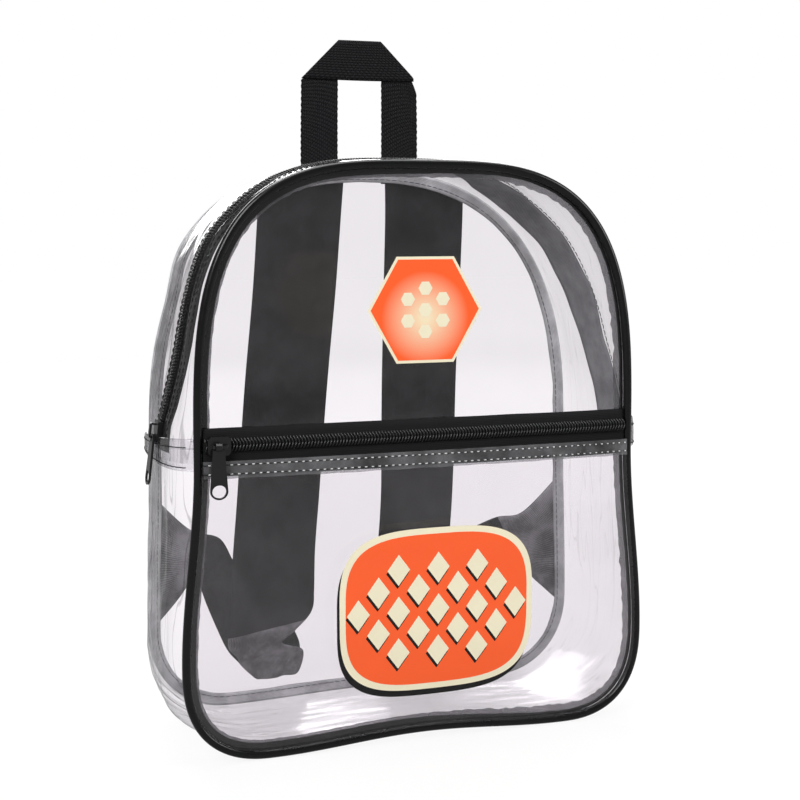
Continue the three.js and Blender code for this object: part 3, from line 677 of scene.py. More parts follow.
def pocket_face(x, z):
    """Points of the slack pocket film: it lies flat along its edges."""
    low = np.clip(z / 20, 0, 1)
    rim = smooth(np.minimum(np.minimum(low, (HEM_TOP - z) / 18), (pocket_half(z) - np.abs(x)) / 12))
    points = on_pocket(x, z, POCKET_FORWARD)
    points[..., 1] -= 0.5 * pocket_folds(x, z) * rim
    return points


def pocket_grid(rows=90, columns=150):
    u = np.linspace(-1, 1, columns)[None, :]
    bottom = inset_points(FRONT, BOTTOM_END, 1.6)[1]
    z = lerp(bottom, HEM_TOP, np.linspace(0, 1, rows)[:, None] ** 1.25)
    half = pocket_half(z) + 1.2
    x = u * np.where(z < bottom + 0.01, FRONT["flat"], half)
    arch = FRONT["rise"] * (1 + np.cos(np.pi * np.minimum(1, np.abs(x) / FRONT["flat"]))) / 2
    return pocket_face(x, z + arch * np.maximum(0, 1 - (z - bottom) / FRONT["corner"]))


pocket_film = sheet_piece("pocket_film", pocket_grid(), panel_film, flip=True)
settle(pocket_film, "pocket_panel")

# %% [markdown]
# ## Pocket hem and zip tape
# The pocket film is turned over along the zip and sewn twice. The doubled film looks grey, its bright
# little puckers between the stitches are painted highlights, and it is a hair's breadth wavy along its
# lower edge.

# %% Hem and tape of the pocket
def hem_grid(rows=14, columns=300):
    share = np.linspace(0, 1, rows)[:, None]
    u = np.linspace(-1, 1, columns)[None, :]
    z = lerp(HEM_LOW, HEM_TOP, share) + 0.4 * ripple(u * 11, 0, 9) * (1 - share)
    x = u * (pocket_half(z) + 0.8)
    pucker = 0.10 * np.sin(2 * math.pi * x / 3.6) * np.sin(math.pi * share)
    return on_pocket(x, z, HEM_FORWARD + pucker + 0.2 * ripple(x / 9, z / 9, 10))


pocket_hem = sheet_piece("pocket_hem", hem_grid(), hem_film, flip=True)
settle(pocket_hem, "pocket_seam_strip")

tape_u = np.linspace(-1, 1, 120)[:, None]
tape_z = np.linspace(TAPE_LOW, POCKET_TOP, 9)[None, :] + 0.25 * ripple(tape_u * 4.7, 3, 11)
tape_grid = on_pocket(tape_u * (pocket_half(tape_z) + 0.3), tape_z, TAPE_FORWARD)
settle(wall_piece("pocket_tape", tape_grid, 0.7, zip_tape), "pocket_zip_tape")
print("pocket stands off by mm", round(float(pocket_stand(0, 80)), 1))

# %% [markdown]
# ## Piping
# A cord wrapped in vinyl and sewn into the front seam, with its flange inside. A round section
# carried along the edge gives the cord; the flange is a thin crimped strip behind it.

# %% Piping
def swept_ring(name, section, count, material):
    """Closed section of (outward, behind) points carried round the front edge."""
    t = stations(0, ROUND, count + 1)[:-1]
    place, out = edge_points(FRONT, t)[:, None], edge_normals(FRONT, t)[:, None]
    off = np.array(section)[None, :, :]
    grid = triples(place[..., 0] + out[..., 0] * off[..., 0], off[..., 1],
                   place[..., 1] + out[..., 1] * off[..., 0])
    m = len(section)
    faces = []
    for i in range(count):
        for j in range(m):
            near, far = i * m, ((i + 1) % count) * m
            faces.append([near + j, far + j, far + (j + 1) % m, near + (j + 1) % m])
    piece = new_piece(name, grid.reshape(-1, 3), faces, material)
    outward_faces(piece)
    return piece


turns = np.linspace(0, 2 * math.pi, 17)[:-1]
cord_section = [(CORD * math.cos(a), CORD * math.sin(a)) for a in turns]
piping_cord = swept_ring("piping_cord", cord_section, 420, piping_vinyl)
settle(piping_cord, "front_piping")


def edge_strip(name, edge, near, far, y, wave, wave_length, thickness, material, seed, narrower=0.0,
               count=520, columns=6):
    """Flat strip inside an edge, from one inset to another, with a wavy inner side."""
    t = stations(0, ROUND, count + 1)[:-1, None]
    turn = np.linspace(0, 2 * math.pi, count, endpoint=False)[:, None]
    waves = EDGE_LENGTH / (2 * math.pi * wave_length)
    share = np.linspace(0, 1, columns)[None, :]
    right = smooth((edge_points(edge, t)[..., 0] + 40) / 120)
    inset = lerp(near, far - narrower * right, share)
    ragged = ripple(np.cos(turn) * waves, np.sin(turn) * waves, seed)
    inset = inset + wave * lerp(0.45, 1, right) * ragged * share
    place = inset_points(edge, t, inset)
    lift = 0.12 * ripple(place[..., 0] / 8, place[..., 1] / 8, seed + 2)
    return wall_piece(name, triples(place[..., 0], y + lift, place[..., 1]), thickness, material,
                      closed=True, soft_edge=False)


piping_flange = edge_strip("piping_flange", FRONT, near=1.6, far=5.3, y=2.4, wave=0.3, wave_length=5.0,
                           thickness=0.6, material=flange_vinyl, seed=21, narrower=1.9)
seam_allowance = edge_strip("seam_allowance", FRONT, near=3.0, far=6.6, y=3.05, wave=1.1,
                            wave_length=4.0, thickness=0.25, material=hem_film, seed=22)
settle(piping_flange)
settle(seam_allowance)

# %% [markdown]
# ## Back seam binding
# A thin woven tape wraps the raw edges of the back seam inside the bag. Seen through the front it
# is a soft grey band with blotches and the odd crease.

# %% Binding
back_binding_band = edge_strip("back_binding_band", BACK, near=0.6, far=7.4, y=DEPTH - 1.4, wave=0.9,
                               wave_length=16.0, thickness=0.9, material=seam_binding, seed=31)
settle(back_binding_band, "back_binding")
print("binding", len(back_binding_band.data.polygons), "faces")

# %% [markdown]
# ## Side film and main zip
# Below the side seams one strip runs down a side, under the bottom and up the other. Above them
# the film is in two strips with the zip between. Long soft folds run with the strip.

# %% Side film
def side_strip(name, span, depths, rows, columns, fold, seed, material, follow=(0.0, 0.0)):
    """Film over a span of edge positions and of depths; folds run along it."""
    t = stations(*span, rows)[:, None]
    share = np.linspace(0, 1, columns)[None, :]
    near, far = (depth + part * wander(t) for depth, part in zip(depths, follow))
    depth = lerp(near, far, share)
    along = np.linspace(0, 900, rows)[:, None]
    rim = np.minimum(1, np.minimum(share * 5, (1 - share) * 5))
    ends = np.minimum(1, np.minimum(along, 900 - along) / 25)
    wave = ripple(along / 62, depth / 7.5, seed) + 0.5 * ripple(along / 25, depth / 4.0, seed + 3)
    # The near side has been pressed and folded most; the base and the far side lie calm
    calm = lerp(1.0, 0.12, smooth((edge_points(FRONT, t)[..., 0] + 105) / 50))
    wave = wave * calm
    lift = fold * wave * rim * (0.25 + 0.75 * ends)
    return sheet_piece(name, on_film(t, depth, lift), material, flip=True)


OPEN_NEAR = ZIP_DEPTH - 7.5
OPEN_FAR = ZIP_DEPTH + 7.5
ARCH = (SEAM_AT, LEFT_SEAM)
lower_side = side_strip("lower_side_film", (LEFT_SEAM, ROUND + SEAM_AT), (FILM_START, FILM_END),
                        rows=360, columns=44, fold=1.3, seed=41, material=base_film)
near_side = side_strip("front_side_film", ARCH, (FILM_START, OPEN_NEAR), rows=260, columns=18, fold=0.6,
                       seed=42, material=side_film, follow=(0.0, 1.0))
far_side = side_strip("rear_side_film", ARCH, (OPEN_FAR, FILM_END), rows=260, columns=26, fold=1.3,
                      seed=43, material=side_film, follow=(1.0, 0.0))
settle(lower_side, "gusset_lower")
settle(near_side, "gusset_upper_front")
settle(far_side, "gusset_upper_back")
print("side film", [len(p.data.polygons) for p in (lower_side, near_side, far_side)])

# %% Main zip tape
TAPE_LIFT = -(FILM / 2 + 1.4 * GAP + TAPE / 2)
HALF_TAPE = 15
tape_span = stations(SEAM_AT + 0.02, LEFT_SEAM - 0.02, 260)[:, None]
across_tape = np.linspace(-1, 1, 9)[None, :]
tape_run = np.arange(len(tape_span))[:, None]
frill = 2.6 * ripple(tape_run / 11, across_tape * 0.8, 44) * np.clip(wander(tape_span) / 8, 0, 1)
tape_depth = ZIP_DEPTH + wander(tape_span) + across_tape * HALF_TAPE + frill * np.abs(across_tape)
tape_depth = np.maximum(tape_depth, FILM_START + 2)
main_tape = wall_piece("main_tape", on_film(tape_span, tape_depth, TAPE_LIFT), 0.6, zip_tape)
settle(main_tape, "main_zip_tape")
# The faces turned into the bag take the pale copy, a painted sheen; the tape itself is black
main_tape.data.materials.append(tape_inner_painted_sheen)
middle_of_bag = Vector(in_frame([0, 45, 150]))
for face in main_tape.data.polygons:
    inward = middle_of_bag - face.center
    inward.y = 0
    face.material_index = int(face.normal.dot(inward.normalized()) > 0.25)

# %% [markdown]
# ## Side seam laps
# Where the zip half meets the lower half, the film is folded over and sewn twice on each side. The
# lap is stiff, puckered and catches the light.

# %% Laps over the side seams
LAP_HALF_HEIGHT = 5.5


def lap_half(seam):
    """Half the lap's height, as a step of the edge position."""
    half_step = film_points(seam + 0.25, 0.5) - film_points(seam - 0.25, 0.5)
    return LAP_HALF_HEIGHT * 0.5 / float(np.linalg.norm(half_step))


def seam_lap(name, seam, seed):
    y = lerp(FILM_START, FILM_END, np.linspace(0.0, 0.98, 72))[:, None]
    share = np.linspace(-1, 1, 14)[None, :]
    pucker = 0.2 * np.sin(2 * math.pi * y / 3.4) * (1 - share * share)
    lift = 1.54 + pucker + 0.3 * ripple(y / 6, share, seed)
    return wall_piece(name, on_film(seam + share * lap_half(seam), y, lift), 0.7, lap_film)


for name, seam, seed in (("left", LEFT_SEAM, 51), ("right", SEAM_AT, 52)):
    settle(seam_lap("side_lap_" + name, seam, seed), "gusset_seam_" + name)

# %% [markdown]
# ## Repeated pieces
# Stitches and zip coils repeat along a path. One Geometry Nodes tree does both: it takes a path
# whose points know which way is out, spaces it evenly, and puts a small shape on every point.

# %% Path and repeat tree
def finished_mesh(piece, name):
    """The mesh that an object's modifiers make."""
    view = bpy.context.evaluated_depsgraph_get()
    view.update()
    mesh = bpy.data.meshes.new_from_object(piece.evaluated_get(view), depsgraph=view)
    mesh.name = name
    return mesh


def path_object(name, points, outward):
    mesh = bpy.data.meshes.new(name)
    edges = [(i, i + 1) for i in range(len(points) - 1)]
    mesh.from_pydata([tuple(p) for p in in_frame(points)], edges, [])
    out = mesh.attributes.new("out", "FLOAT_VECTOR", "POINT")
    out.data.foreach_set("vector", np.broadcast_to(outward, (len(points), 3)).astype(float).ravel())
    return scene_object(name, mesh)


def repeat_tree(name, sizes, shape):
    """Tree that spaces a path by Pitch and puts the shape, built by a function, on each point."""
    tree = bpy.data.node_groups.new(name, "GeometryNodeTree")
    tree.interface.new_socket("Geometry", in_out="INPUT", socket_type="NodeSocketGeometry")
    tree.interface.new_socket("Geometry", in_out="OUTPUT", socket_type="NodeSocketGeometry")
    for key, value in sizes.items():
        size = tree.interface.new_socket(key, in_out="INPUT", socket_type="NodeSocketFloat")
        size.default_value = value
    tree.interface.new_socket("Finish", in_out="INPUT", socket_type="NodeSocketMaterial")
    start = node(tree, "NodeGroupInput")
    curve = node(tree, "GeometryNodeMeshToCurve", {0: start.outputs["Geometry"]})
    spaced = node(tree, "GeometryNodeResampleCurve", {
        "Curve": curve.outputs[0], "Length": start.outputs["Pitch"]}, mode="LENGTH")
    out = node(tree, "GeometryNodeInputNamedAttribute", {"Name": "out"}, data_type="FLOAT_VECTOR")
    up = node(tree, "FunctionNodeAlignRotationToVector", {"Vector": out.outputs[0]}, axis="Z")
    tangent = node(tree, "GeometryNodeInputTangent")
    turned = node(tree, "FunctionNodeAlignRotationToVector",
                  {"Rotation": up.outputs[0], "Vector": tangent.outputs[0]}, axis="X", pivot_axis="Z")
    placed = node(tree, "GeometryNodeInstanceOnPoints", {
        "Points": spaced.outputs[0], "Instance": shape(tree, start), "Rotation": turned.outputs[0]})
    real = node(tree, "GeometryNodeRealizeInstances", {0: placed.outputs[0]})
    painted = node(tree, "GeometryNodeSetMaterial", {
        "Geometry": real.outputs[0], "Material": start.outputs["Finish"]})
    shaded = node(tree, "GeometryNodeSetShadeSmooth", {0: painted.outputs[0]})
    node(tree, "NodeGroupOutput", {0: shaded.outputs[0]})
    return tree


def made_by(tree, path, name, finish, **values):
    """Run a tree on a path object and keep the result as a plain mesh."""
    modifier = path.modifiers.new("repeat", "NODES")
    modifier.node_group = tree
    for item in tree.interface.items_tree:
        if item.in_out != "INPUT":
            continue
        if item.name in values:
            modifier[item.identifier] = float(values[item.name])
        if item.name == "Finish":
            modifier[item.identifier] = finish
    mesh = finished_mesh(path, name)
    if not mesh.materials:
        mesh.materials.append(finish)
    bpy.data.objects.remove(path, do_unlink=True)
    return scene_object(name, mesh)


# %% Shape of a stitch and of a coil
def bar_along(tree, points, radius, sides=5, steps=4):
    """Round bar through a three point arc of sockets or vectors."""
    arc = node(tree, "GeometryNodeCurveQuadraticBezier", {
        "Resolution": steps, "Start": points[0], "Middle": points[1], "End": points[2]})
    ring = node(tree, "GeometryNodeCurvePrimitiveCircle", {"Resolution": sides, "Radius": radius})
    return node(tree, "GeometryNodeCurveToMesh", {
        "Curve": arc.outputs[0], "Profile Curve": ring.outputs[0], "Fill Caps": True}).outputs[0]


def vector_of(tree, x=0.0, y=0.0, z=0.0):
    return node(tree, "ShaderNodeCombineXYZ", {0: x, 1: y, 2: z}).outputs[0]


def times(tree, value, factor):
    return sums(tree, "MULTIPLY", value, factor)


def stitch_shape(tree, start):
    """A stitch stands up a little in the middle and dives into its holes."""
    length, thread = start.outputs["Length"], start.outputs["Thread"]
    sink = times(tree, thread, -0.6)
    arc = (vector_of(tree, times(tree, length, -0.5), 0.0, sink),
           vector_of(tree, 0.0, 0.0, times(tree, thread, 1.1)),
           vector_of(tree, times(tree, length, 0.5), 0.0, sink))
    return bar_along(tree, arc, times(tree, thread, 0.5))


def coil_shape(tree, start):
    """Two slanted loops that lock in the middle, one from each side of the zip."""
    loops = node(tree, "GeometryNodeJoinGeometry")
    lean, reach, rise = (start.outputs[key] for key in ("Lean", "Reach", "Rise"))
    for side in (1.0, -1.0):
        edge = vector_of(tree, times(tree, lean, -1.0), times(tree, reach, side), 0.0)
        crown = vector_of(tree, 0.0, times(tree, reach, 0.55 * side), rise)
        lock = vector_of(tree, lean, times(tree, reach, -0.08 * side), times(tree, rise, 0.25))
        made = bar_along(tree, (edge, crown, lock), start.outputs["Bar"], sides=6, steps=5)
        tree.links.new(made, loops.inputs[0])
    return loops.outputs[0]


COIL_PITCH = 0.00167
stitch_row = repeat_tree("stitch_row", {"Pitch": 0.0036, "Length": 0.0029, "Thread": 0.0005},
                         stitch_shape)
coil_row = repeat_tree("coil_row", {"Pitch": COIL_PITCH, "Reach": 0.0031, "Rise": 0.0021,
                                    "Lean": 0.0007, "Bar": 0.00042}, coil_shape)
print("trees", stitch_row.name, coil_row.name)

# %% Zip coils
TOWARDS_VIEWER = (0.0, -1.0, 0.0)
COIL_RISE = 0.75
coil_reach = float(pocket_half(ZIP_HEIGHT)) - 0.9
coil_path = path_object("pocket_coil_path", on_pocket(
    np.linspace(-coil_reach, coil_reach, 90), ZIP_HEIGHT, TAPE_FRONT + COIL_RISE), TOWARDS_VIEWER)
pocket_coil = made_by(coil_row, coil_path, "pocket_coil", coil_nylon, Pitch=COIL_PITCH)
settle(pocket_coil, "pocket_zip_coil")
coil_span = stations(SEAM_AT + 0.25, LEFT_SEAM - 0.3, 240)
coil_depth = ZIP_DEPTH + wander(coil_span)
main_path = path_object("main_coil_path", on_film(coil_span, coil_depth, TAPE_LIFT + TAPE / 2 + COIL_RISE),
                        film_normals(coil_span, depth_share(coil_depth)))
main_coil = made_by(coil_row, main_path, "main_coil", coil_nylon, Pitch=COIL_PITCH)
settle(main_coil, "main_zip_coil")
print("coils", len(pocket_coil.data.polygons), len(main_coil.data.polygons), "faces")

# %% Stitches
def stitched(name, points, outward, finish=thread_black, slot="black_webbing", **sizes):
    path = path_object(name + "_path", points, outward)
    return settle(made_by(stitch_row, path, name, finish, **sizes))


def stitched_film(name, t, depth, lift, **sizes):
    return stitched(name, on_film(t, depth, lift), film_normals(t, depth_share(depth)), **sizes)


for k, z in enumerate((HEM_TOP - 1.9, HEM_TOP - 6.4)):
    half = float(pocket_half(z)) - 0.5
    row = on_pocket(np.linspace(-half, half, 80), z, HEM_FORWARD + 0.1)
    stitched(f"hem_stitches_{k}", row, TOWARDS_VIEWER, Thread=0.00045, Length=0.0026)
    # Painted highlights: white specks stand for stretched film shining at each needle hole
    row = on_pocket(np.linspace(1.8 - half, half, 80), z, HEM_FORWARD + 0.15)
    stitched(f"hem_needle_specks_{k}", row, TOWARDS_VIEWER, needle_glint_paint, "clear_film",
             Thread=0.0006, Length=0.0011)
for side, seam in (("left", LEFT_SEAM), ("right", SEAM_AT)):
    for k, share in enumerate((-0.5, 0.5)):
        stitched_film(f"{side}_seam_stitches_{k}", seam + share * lap_half(seam),
                      np.linspace(7, FILM_END - 2, 60), 2.05, Thread=0.0006, Length=0.0033)
zip_span = stations(SEAM_AT + 0.15, LEFT_SEAM - 0.15, 220)
for k, depth in enumerate((OPEN_NEAR - 2.0, OPEN_NEAR - 6.5, OPEN_FAR + 2.0)):
    strayed = np.maximum(depth + wander(zip_span), FILM_START + 2.5)
    stitched_film(f"zip_stitches_{k}", zip_span, strayed, 0.12)
binding_line = inset_points(BACK, stations(0.0, ROUND, 420), 5.6)
stitched("binding_stitches", triples(binding_line[:, 0], DEPTH - 1.95, binding_line[:, 1]),
         TOWARDS_VIEWER, thread_grey, Thread=0.0004)
print("stitch rows made")

# %% [markdown]
# ## Sliders and pulls
# Die-cast sliders with black enamel. Their solids already have the right form, so the scene keeps
# that form, rounds every edge as a casting has it and gives it the enamel.

# %% Rounded copies of the hardware
def rounded_copy(source, name, width):
    mesh = bpy.data.objects[source].data.copy()
    mesh.name = name
    piece = scene_object(name, mesh)
    mesh.materials.clear()
    mesh.materials.append(slider_enamel)
    weld = piece.modifiers.new("weld", "WELD")
    weld.merge_threshold = 0.00002
    bevel = piece.modifiers.new("bevel", "BEVEL")
    bevel.width = width
    bevel.segments = 2
    bevel.limit_method = "ANGLE"
    bevel.angle_limit = math.radians(35)
    finished = finished_mesh(piece, name)
    piece.modifiers.clear()
    piece.data = finished
    return piece


for source, body, width in (("pocket_zip_slider", "bag", 0.0003), ("main_zip_slider", "bag", 0.0003),
                            ("pocket_zip_pull", "front_pull", 0.0002),
                            ("main_zip_pull", "side_pull", 0.0002)):
    copy = rounded_copy(source, source.replace("_zip", "") + "_cast", width)
    settle(copy, source, body)
    print(copy.name, len(copy.data.polygons), "faces")

# %% [markdown]
# ## Handle
# One length of webbing: up the left, across, down the right, folded over at forty-five degrees at
# both top corners. Each run is a band of its own weave direction, and the folds lie on each other.

# %% Handle webbing
HANDLE_SHIFT, HANDLE_HALF, WEBBING, WEB_THICK = -2.3, 34.4, 21.5, 1.5
HANDLE_TOP, HANDLE_CUT, HANDLE_FOOT = HEIGHT + 71.0, 22.0, HEIGHT - 8.0
HANDLE_Y = DEPTH + 0.8 + 0.9
HANDLE_WALL = WEB_THICK * 0.6


def folded_handle():
    """The far corner is worn: its outer point is bent in a little."""
    pieces = []
    c = np.linspace(0, 1, 15)[None, :]
    for side, name, worn in ((-1, "left", 0.0), (1, "right", 5.0)):
        share = np.linspace(0, 1, 60)[:, None]
        slant = lerp(HANDLE_TOP - HANDLE_CUT, HANDLE_TOP, c)
        fold = np.minimum(slant, slant - worn + 5 * worn * c)
        z = lerp(HANDLE_FOOT, fold - 0.5, share)
        sway = 0.5 * np.sin(share * 2.6 + side) * share
        scallop = 0.18 * np.sin(2 * math.pi * z / 3.4) * ((c == 0) | (c == 1))
        x = HANDLE_SHIFT + side * (lerp(HANDLE_HALF, HANDLE_HALF - WEBBING, c) + scallop) + sway
        grid = triples(x, HANDLE_Y + 0.45, z)
        pieces.append(wall_piece("handle_leg_" + name, grid, HANDLE_WALL, handle_webbing))
    u = np.linspace(-1, 1, 71)[:, None]
    reach = lerp(HANDLE_HALF - HANDLE_CUT, HANDLE_HALF - 0.3, c)
    reach = np.where(u > 0, np.minimum(reach, HANDLE_HALF - 2.2), reach)
    z = lerp(HANDLE_TOP, HANDLE_TOP - WEBBING, c) - 0.5 * np.cos(u * math.pi / 2) * c
    grid = triples(HANDLE_SHIFT + u * reach, HANDLE_Y - 0.5 + 0.25 * u ** 6, z)
    pieces.append(wall_piece("handle_top", grid, HANDLE_WALL, handle_webbing))
    return pieces


handle_pieces = folded_handle()
for piece, stands_for in zip(handle_pieces, ("carry_handle", None, None)):
    settle(piece, stands_for)
print("handle", [p.name for p in handle_pieces])

# %% [markdown]
# ## Shoulder straps
# Wide bands sewn in at the top seam. They hang behind the back panel, turn up in a loose fold near
# the floor and come back up to the side seams. A smooth curve through a few measured rows carries
# the band, and soft waves and edge curl take off the stiffness.

# %% Strap courses
STRAP_THICK = 2.4
# Rows of inner edge x and z, outer edge x and z, and depth, from the top seam to the side seam
LEFT_COURSE = [
    (10.7, 296, 59.3, 296, 96.6), (12.2, 271, 60.8, 271, 98.2), (14.4, 230, 63.0, 230, 101.5),
    (18.6, 181, 67.2, 181, 103.8), (21.9, 141, 70.5, 141, 104.0), (24.3, 111, 72.9, 111, 104.0),
    (27.0, 81, 75.8, 80, 103.2), (28.0, 58, 77.5, 55, 102.4), (29.5, 45, 79.0, 38, 102.8),
    (39.0, 34, 79.0, 27, 104.5), (46.0, 26, 73.0, 20, 108.0), (32.0, 19, 69.0, 13, 113.0),
    (34.0, 5, 60.0, 4, 117.0), (32.0, 22, 70.0, 14, 120.0), (44.0, 44, 77.0, 24, 120.0),
    (60.0, 66, 86.7, 46, 117.0), (72.0, 74, 93.0, 62, 112.0), (83.0, 91, 97.5, 71, 106.0),
    (102.0, 99, 108.0, 60, 100.0), (124.0, 121, 124.0, 45, 94.6),
]
RIGHT_COURSE = [
    (14.0, 296, 62.2, 296, 96.6), (14.8, 271, 62.4, 271, 98.2), (15.0, 230, 62.2, 230, 101.5),
    (14.8, 181, 61.0, 181, 103.8), (14.5, 141, 60.1, 141, 104.0), (14.2, 110, 59.2, 111, 104.0),
    (11.8, 80, 57.0, 82, 103.2), (9.0, 55, 55.0, 57, 102.4), (8.5, 42, 54.5, 40, 102.8),
    (15.0, 32, 55.5, 27, 104.5), (23.0, 25, 52.0, 20, 108.0), (13.0, 17, 47.0, 12, 113.0),
    (16.0, 6, 42.0, 5, 117.0), (20.0, 24, 52.0, 17, 120.0), (30.0, 46, 62.0, 26, 120.0),
    (48.0, 68, 76.0, 43, 117.0), (64.0, 79, 93.0, 54, 112.0), (88.0, 91, 107.0, 58, 106.0),
    (104.0, 95, 114.0, 51, 100.0), (125.0, 117, 125.0, 40, 94.6),
]


def strap_grid(course, side, seed, rows=200, columns=17):
    inner_x, inner_z, outer_x, outer_z, deep = smooth_line(course, rows).T[:, :, None]
    share = np.linspace(0, 1, columns)[None, :]
    along = np.linspace(0, 1, rows)[:, None]
    loose = smooth((along - 0.4) * 4) * smooth((1 - along) * 6)
    wave = ripple(along * rows / 26, share * 2.2, seed)
    wave = wave + 0.35 * ripple(along * rows / 7, share * 5, seed + 3)
    least = DEPTH + 0.8 + 1.5 + 2.1 * (along < 0.04)
    y = np.maximum(least, deep + 0.8 * (2 * share - 1) ** 4 + wave * (0.5 + 2.2 * loose))
    x = side * lerp(inner_x, outer_x, share)
    z = lerp(inner_z, outer_z, share) + 0.8 * wave * loose
    # The sewn end is cut along the arch of the back seam
    arch = edge_points(BACK, np.linspace(SEAM_AT, TOP_AT, 200))[::-1]
    return triples(x, y, np.minimum(z, np.interp(np.abs(x), arch[:, 0], arch[:, 1]) - 2.5))


ROLL_START, ROLL_END, SEWN_FROM = 0.605, 0.705, 0.93
for side, name, course, seed in ((-1, "left", LEFT_COURSE, 61), (1, "right", RIGHT_COURSE, 62)):
    strap = wall_piece("strap_band_" + name, strap_grid(course, side, seed), STRAP_THICK, strap_cloth)
    # The rolled bottom and the sewn end lie behind creased film; their front faces take a pale copy of the
    # cloth, a painted sheen in place of the film's haze and reflections
    strap.data.materials.append(strap_cloth_painted_sheen)
    run = np.array([loop.uv[1] for loop in strap.data.uv_layers["cloth"].data])
    for face in strap.data.polygons:
        share = run[face.loop_start] / run.max()
        sheen_painted = ROLL_START < share < ROLL_END or share > SEWN_FROM
        face.material_index = int(face.normal.y < 0.1 and sheen_painted)
    settle(strap, "shoulder_strap_" + name)
    print(strap.name, len(strap.data.polygons), "faces")

# %% [markdown]
# ## Prints
# Two screen prints in orange and cream: a small hexagon badge high on the front and a wide plaque
# with a harlequin lattice on the pocket. Ink lies on the outside of the film, so each print is a
# thin layer just in front of it, and its pattern is worked out from its place in millimetres.

# %% Print materials
def ink_with_painted_glow(name, build):
    """Thin ink with a painted glow: a faint emission of its own colour stands in for the bright backdrop
    shining through it.
    """
    material, tree = new_material(name)
    place = object_place(tree)
    ink = build(tree, place)
    # Painted glow: the ink emits a fifth of its own colour
    finish_material(tree, surface(
        tree, Base_Color=ink, Roughness=0.42, Specular_IOR_Level=0.3, Emission_Color=ink,
        Emission_Strength=0.2, Normal=bumped(tree, 0.25, 0.00003, mottle(tree, place, 900.0, 2.0))))
    return material


ORANGE, CREAM, BLACK_INK = "#FF622C", "#F3EACB", "#0C0C0C"
BADGE_X, BADGE_Z = 1.0, 225.0


def glow_ink(tree, place):
    """Orange that fades to a warm cream glow in the middle of the badge."""
    middle = in_frame([BADGE_X, 0.0, BADGE_Z])
    moved = node(tree, "ShaderNodeVectorMath", {0: place, 1: (middle[0], 0, middle[2] - 0.004)},
                 operation="SUBTRACT")
    flat = node(tree, "ShaderNodeVectorMath", {0: moved.outputs[0], 1: (1, 0, 1)}, operation="MULTIPLY")
    far = node(tree, "ShaderNodeVectorMath", {0: flat.outputs[0]}, operation="LENGTH").outputs["Value"]
    return blended(tree, ranged(tree, far, 0.002, 0.024, 0.0, 1.0), "#F5E3BE", ORANGE)


def plain_ink(hex_value):
    def build(tree, place):
        soft = ranged(tree, mottle(tree, place, 300.0, 2.0), 0.0, 1.0, 0.0, 0.06)
        return blended(tree, soft, hex_value, "#808080")
    return build


orange_ink = ink_with_painted_glow("orange_screen_ink", plain_ink(ORANGE))
cream_ink = ink_with_painted_glow("cream_screen_ink", plain_ink(CREAM))
black_ink = ink_with_painted_glow("black_screen_ink", plain_ink(BLACK_INK))
glow = ink_with_painted_glow("orange_glow_ink", glow_ink)


# %% Print shapes
def print_layer(name, outlines, surface_of, depth, material, step=2.5):
    """Filled outlines in x and z, cut fine enough to follow a curved film."""
    work = bmesh.new()
    for outline in outlines:
        ring = [work.verts.new((x, 0.0, z)) for x, z in outline]
        work.faces.new(ring)
    for index, across in ((0, (1, 0, 0)), (1, (0, 0, 1))):
        values = [point[index] for outline in outlines for point in outline]
        for value in np.arange(min(values) + step, max(values), step):
            geometry = work.verts[:] + work.edges[:] + work.faces[:]
            bmesh.ops.bisect_plane(work, geom=geometry, dist=1e-5,
                                   plane_co=[value * part for part in across], plane_no=across)
    flat = np.array([v.co for v in work.verts])
    vertices = surface_of(flat[:, 0], flat[:, 2]) - np.array([0, depth, 0])
    work.verts.index_update()
    faces = [[v.index for v in f.verts] for f in work.faces]
    work.free()
    piece = new_piece(name, vertices, faces, material)
    if sum(f.normal.y * f.area for f in piece.data.polygons) > 0:
        piece.data.flip_normals()
    return settle(piece)


def hexagon(cx, cz, radius):
    turns = [k * math.pi / 3 for k in range(6)]
    return [(cx + radius * math.cos(turn), cz + radius * math.sin(turn)) for turn in turns]


def on_front(x, z):
    return triples(x, 0.35, z)


cell_steps = [(0, 0), (9.6, 5.55), (9.6, -5.55), (-9.6, 5.55), (-9.6, -5.55), (0, 11.1), (0, -11.1)]
cells = [hexagon(BADGE_X + dx, BADGE_Z + dz, 3.9) for dx, dz in cell_steps]
print_layer("badge_rim", [hexagon(BADGE_X, BADGE_Z, 31.5)], on_front, 0.0, cream_ink)
print_layer("badge_field", [hexagon(BADGE_X, BADGE_Z, 29.8)], on_front, 0.08, glow)
print_layer("badge_cells", cells, on_front, 0.16, cream_ink)


PLAQUE_X, PLAQUE_Z, PLAQUE_HALF_W, PLAQUE_HALF_H, PLAQUE_POWER = 5.0, 70.0, 54.0, 43.0, 3.4


def plaque(shift_x=0.0, shift_z=0.0, trim=0.0, count=96):
    """Rounded outline of the plaque, moved and trimmed a little."""
    out = []
    for k in range(count):
        c, s = math.cos(2 * math.pi * k / count), math.sin(2 * math.pi * k / count)
        wide = (PLAQUE_HALF_W - trim) * math.copysign(abs(c) ** (2 / PLAQUE_POWER), c)
        high = (PLAQUE_HALF_H - trim) * math.copysign(abs(s) ** (2 / PLAQUE_POWER), s)
        out.append((PLAQUE_X + shift_x + wide, PLAQUE_Z + shift_z + high))
    return out


def ink_on_pocket(x, z):
    return pocket_face(x, z) - np.array([0, 0.3, 0])


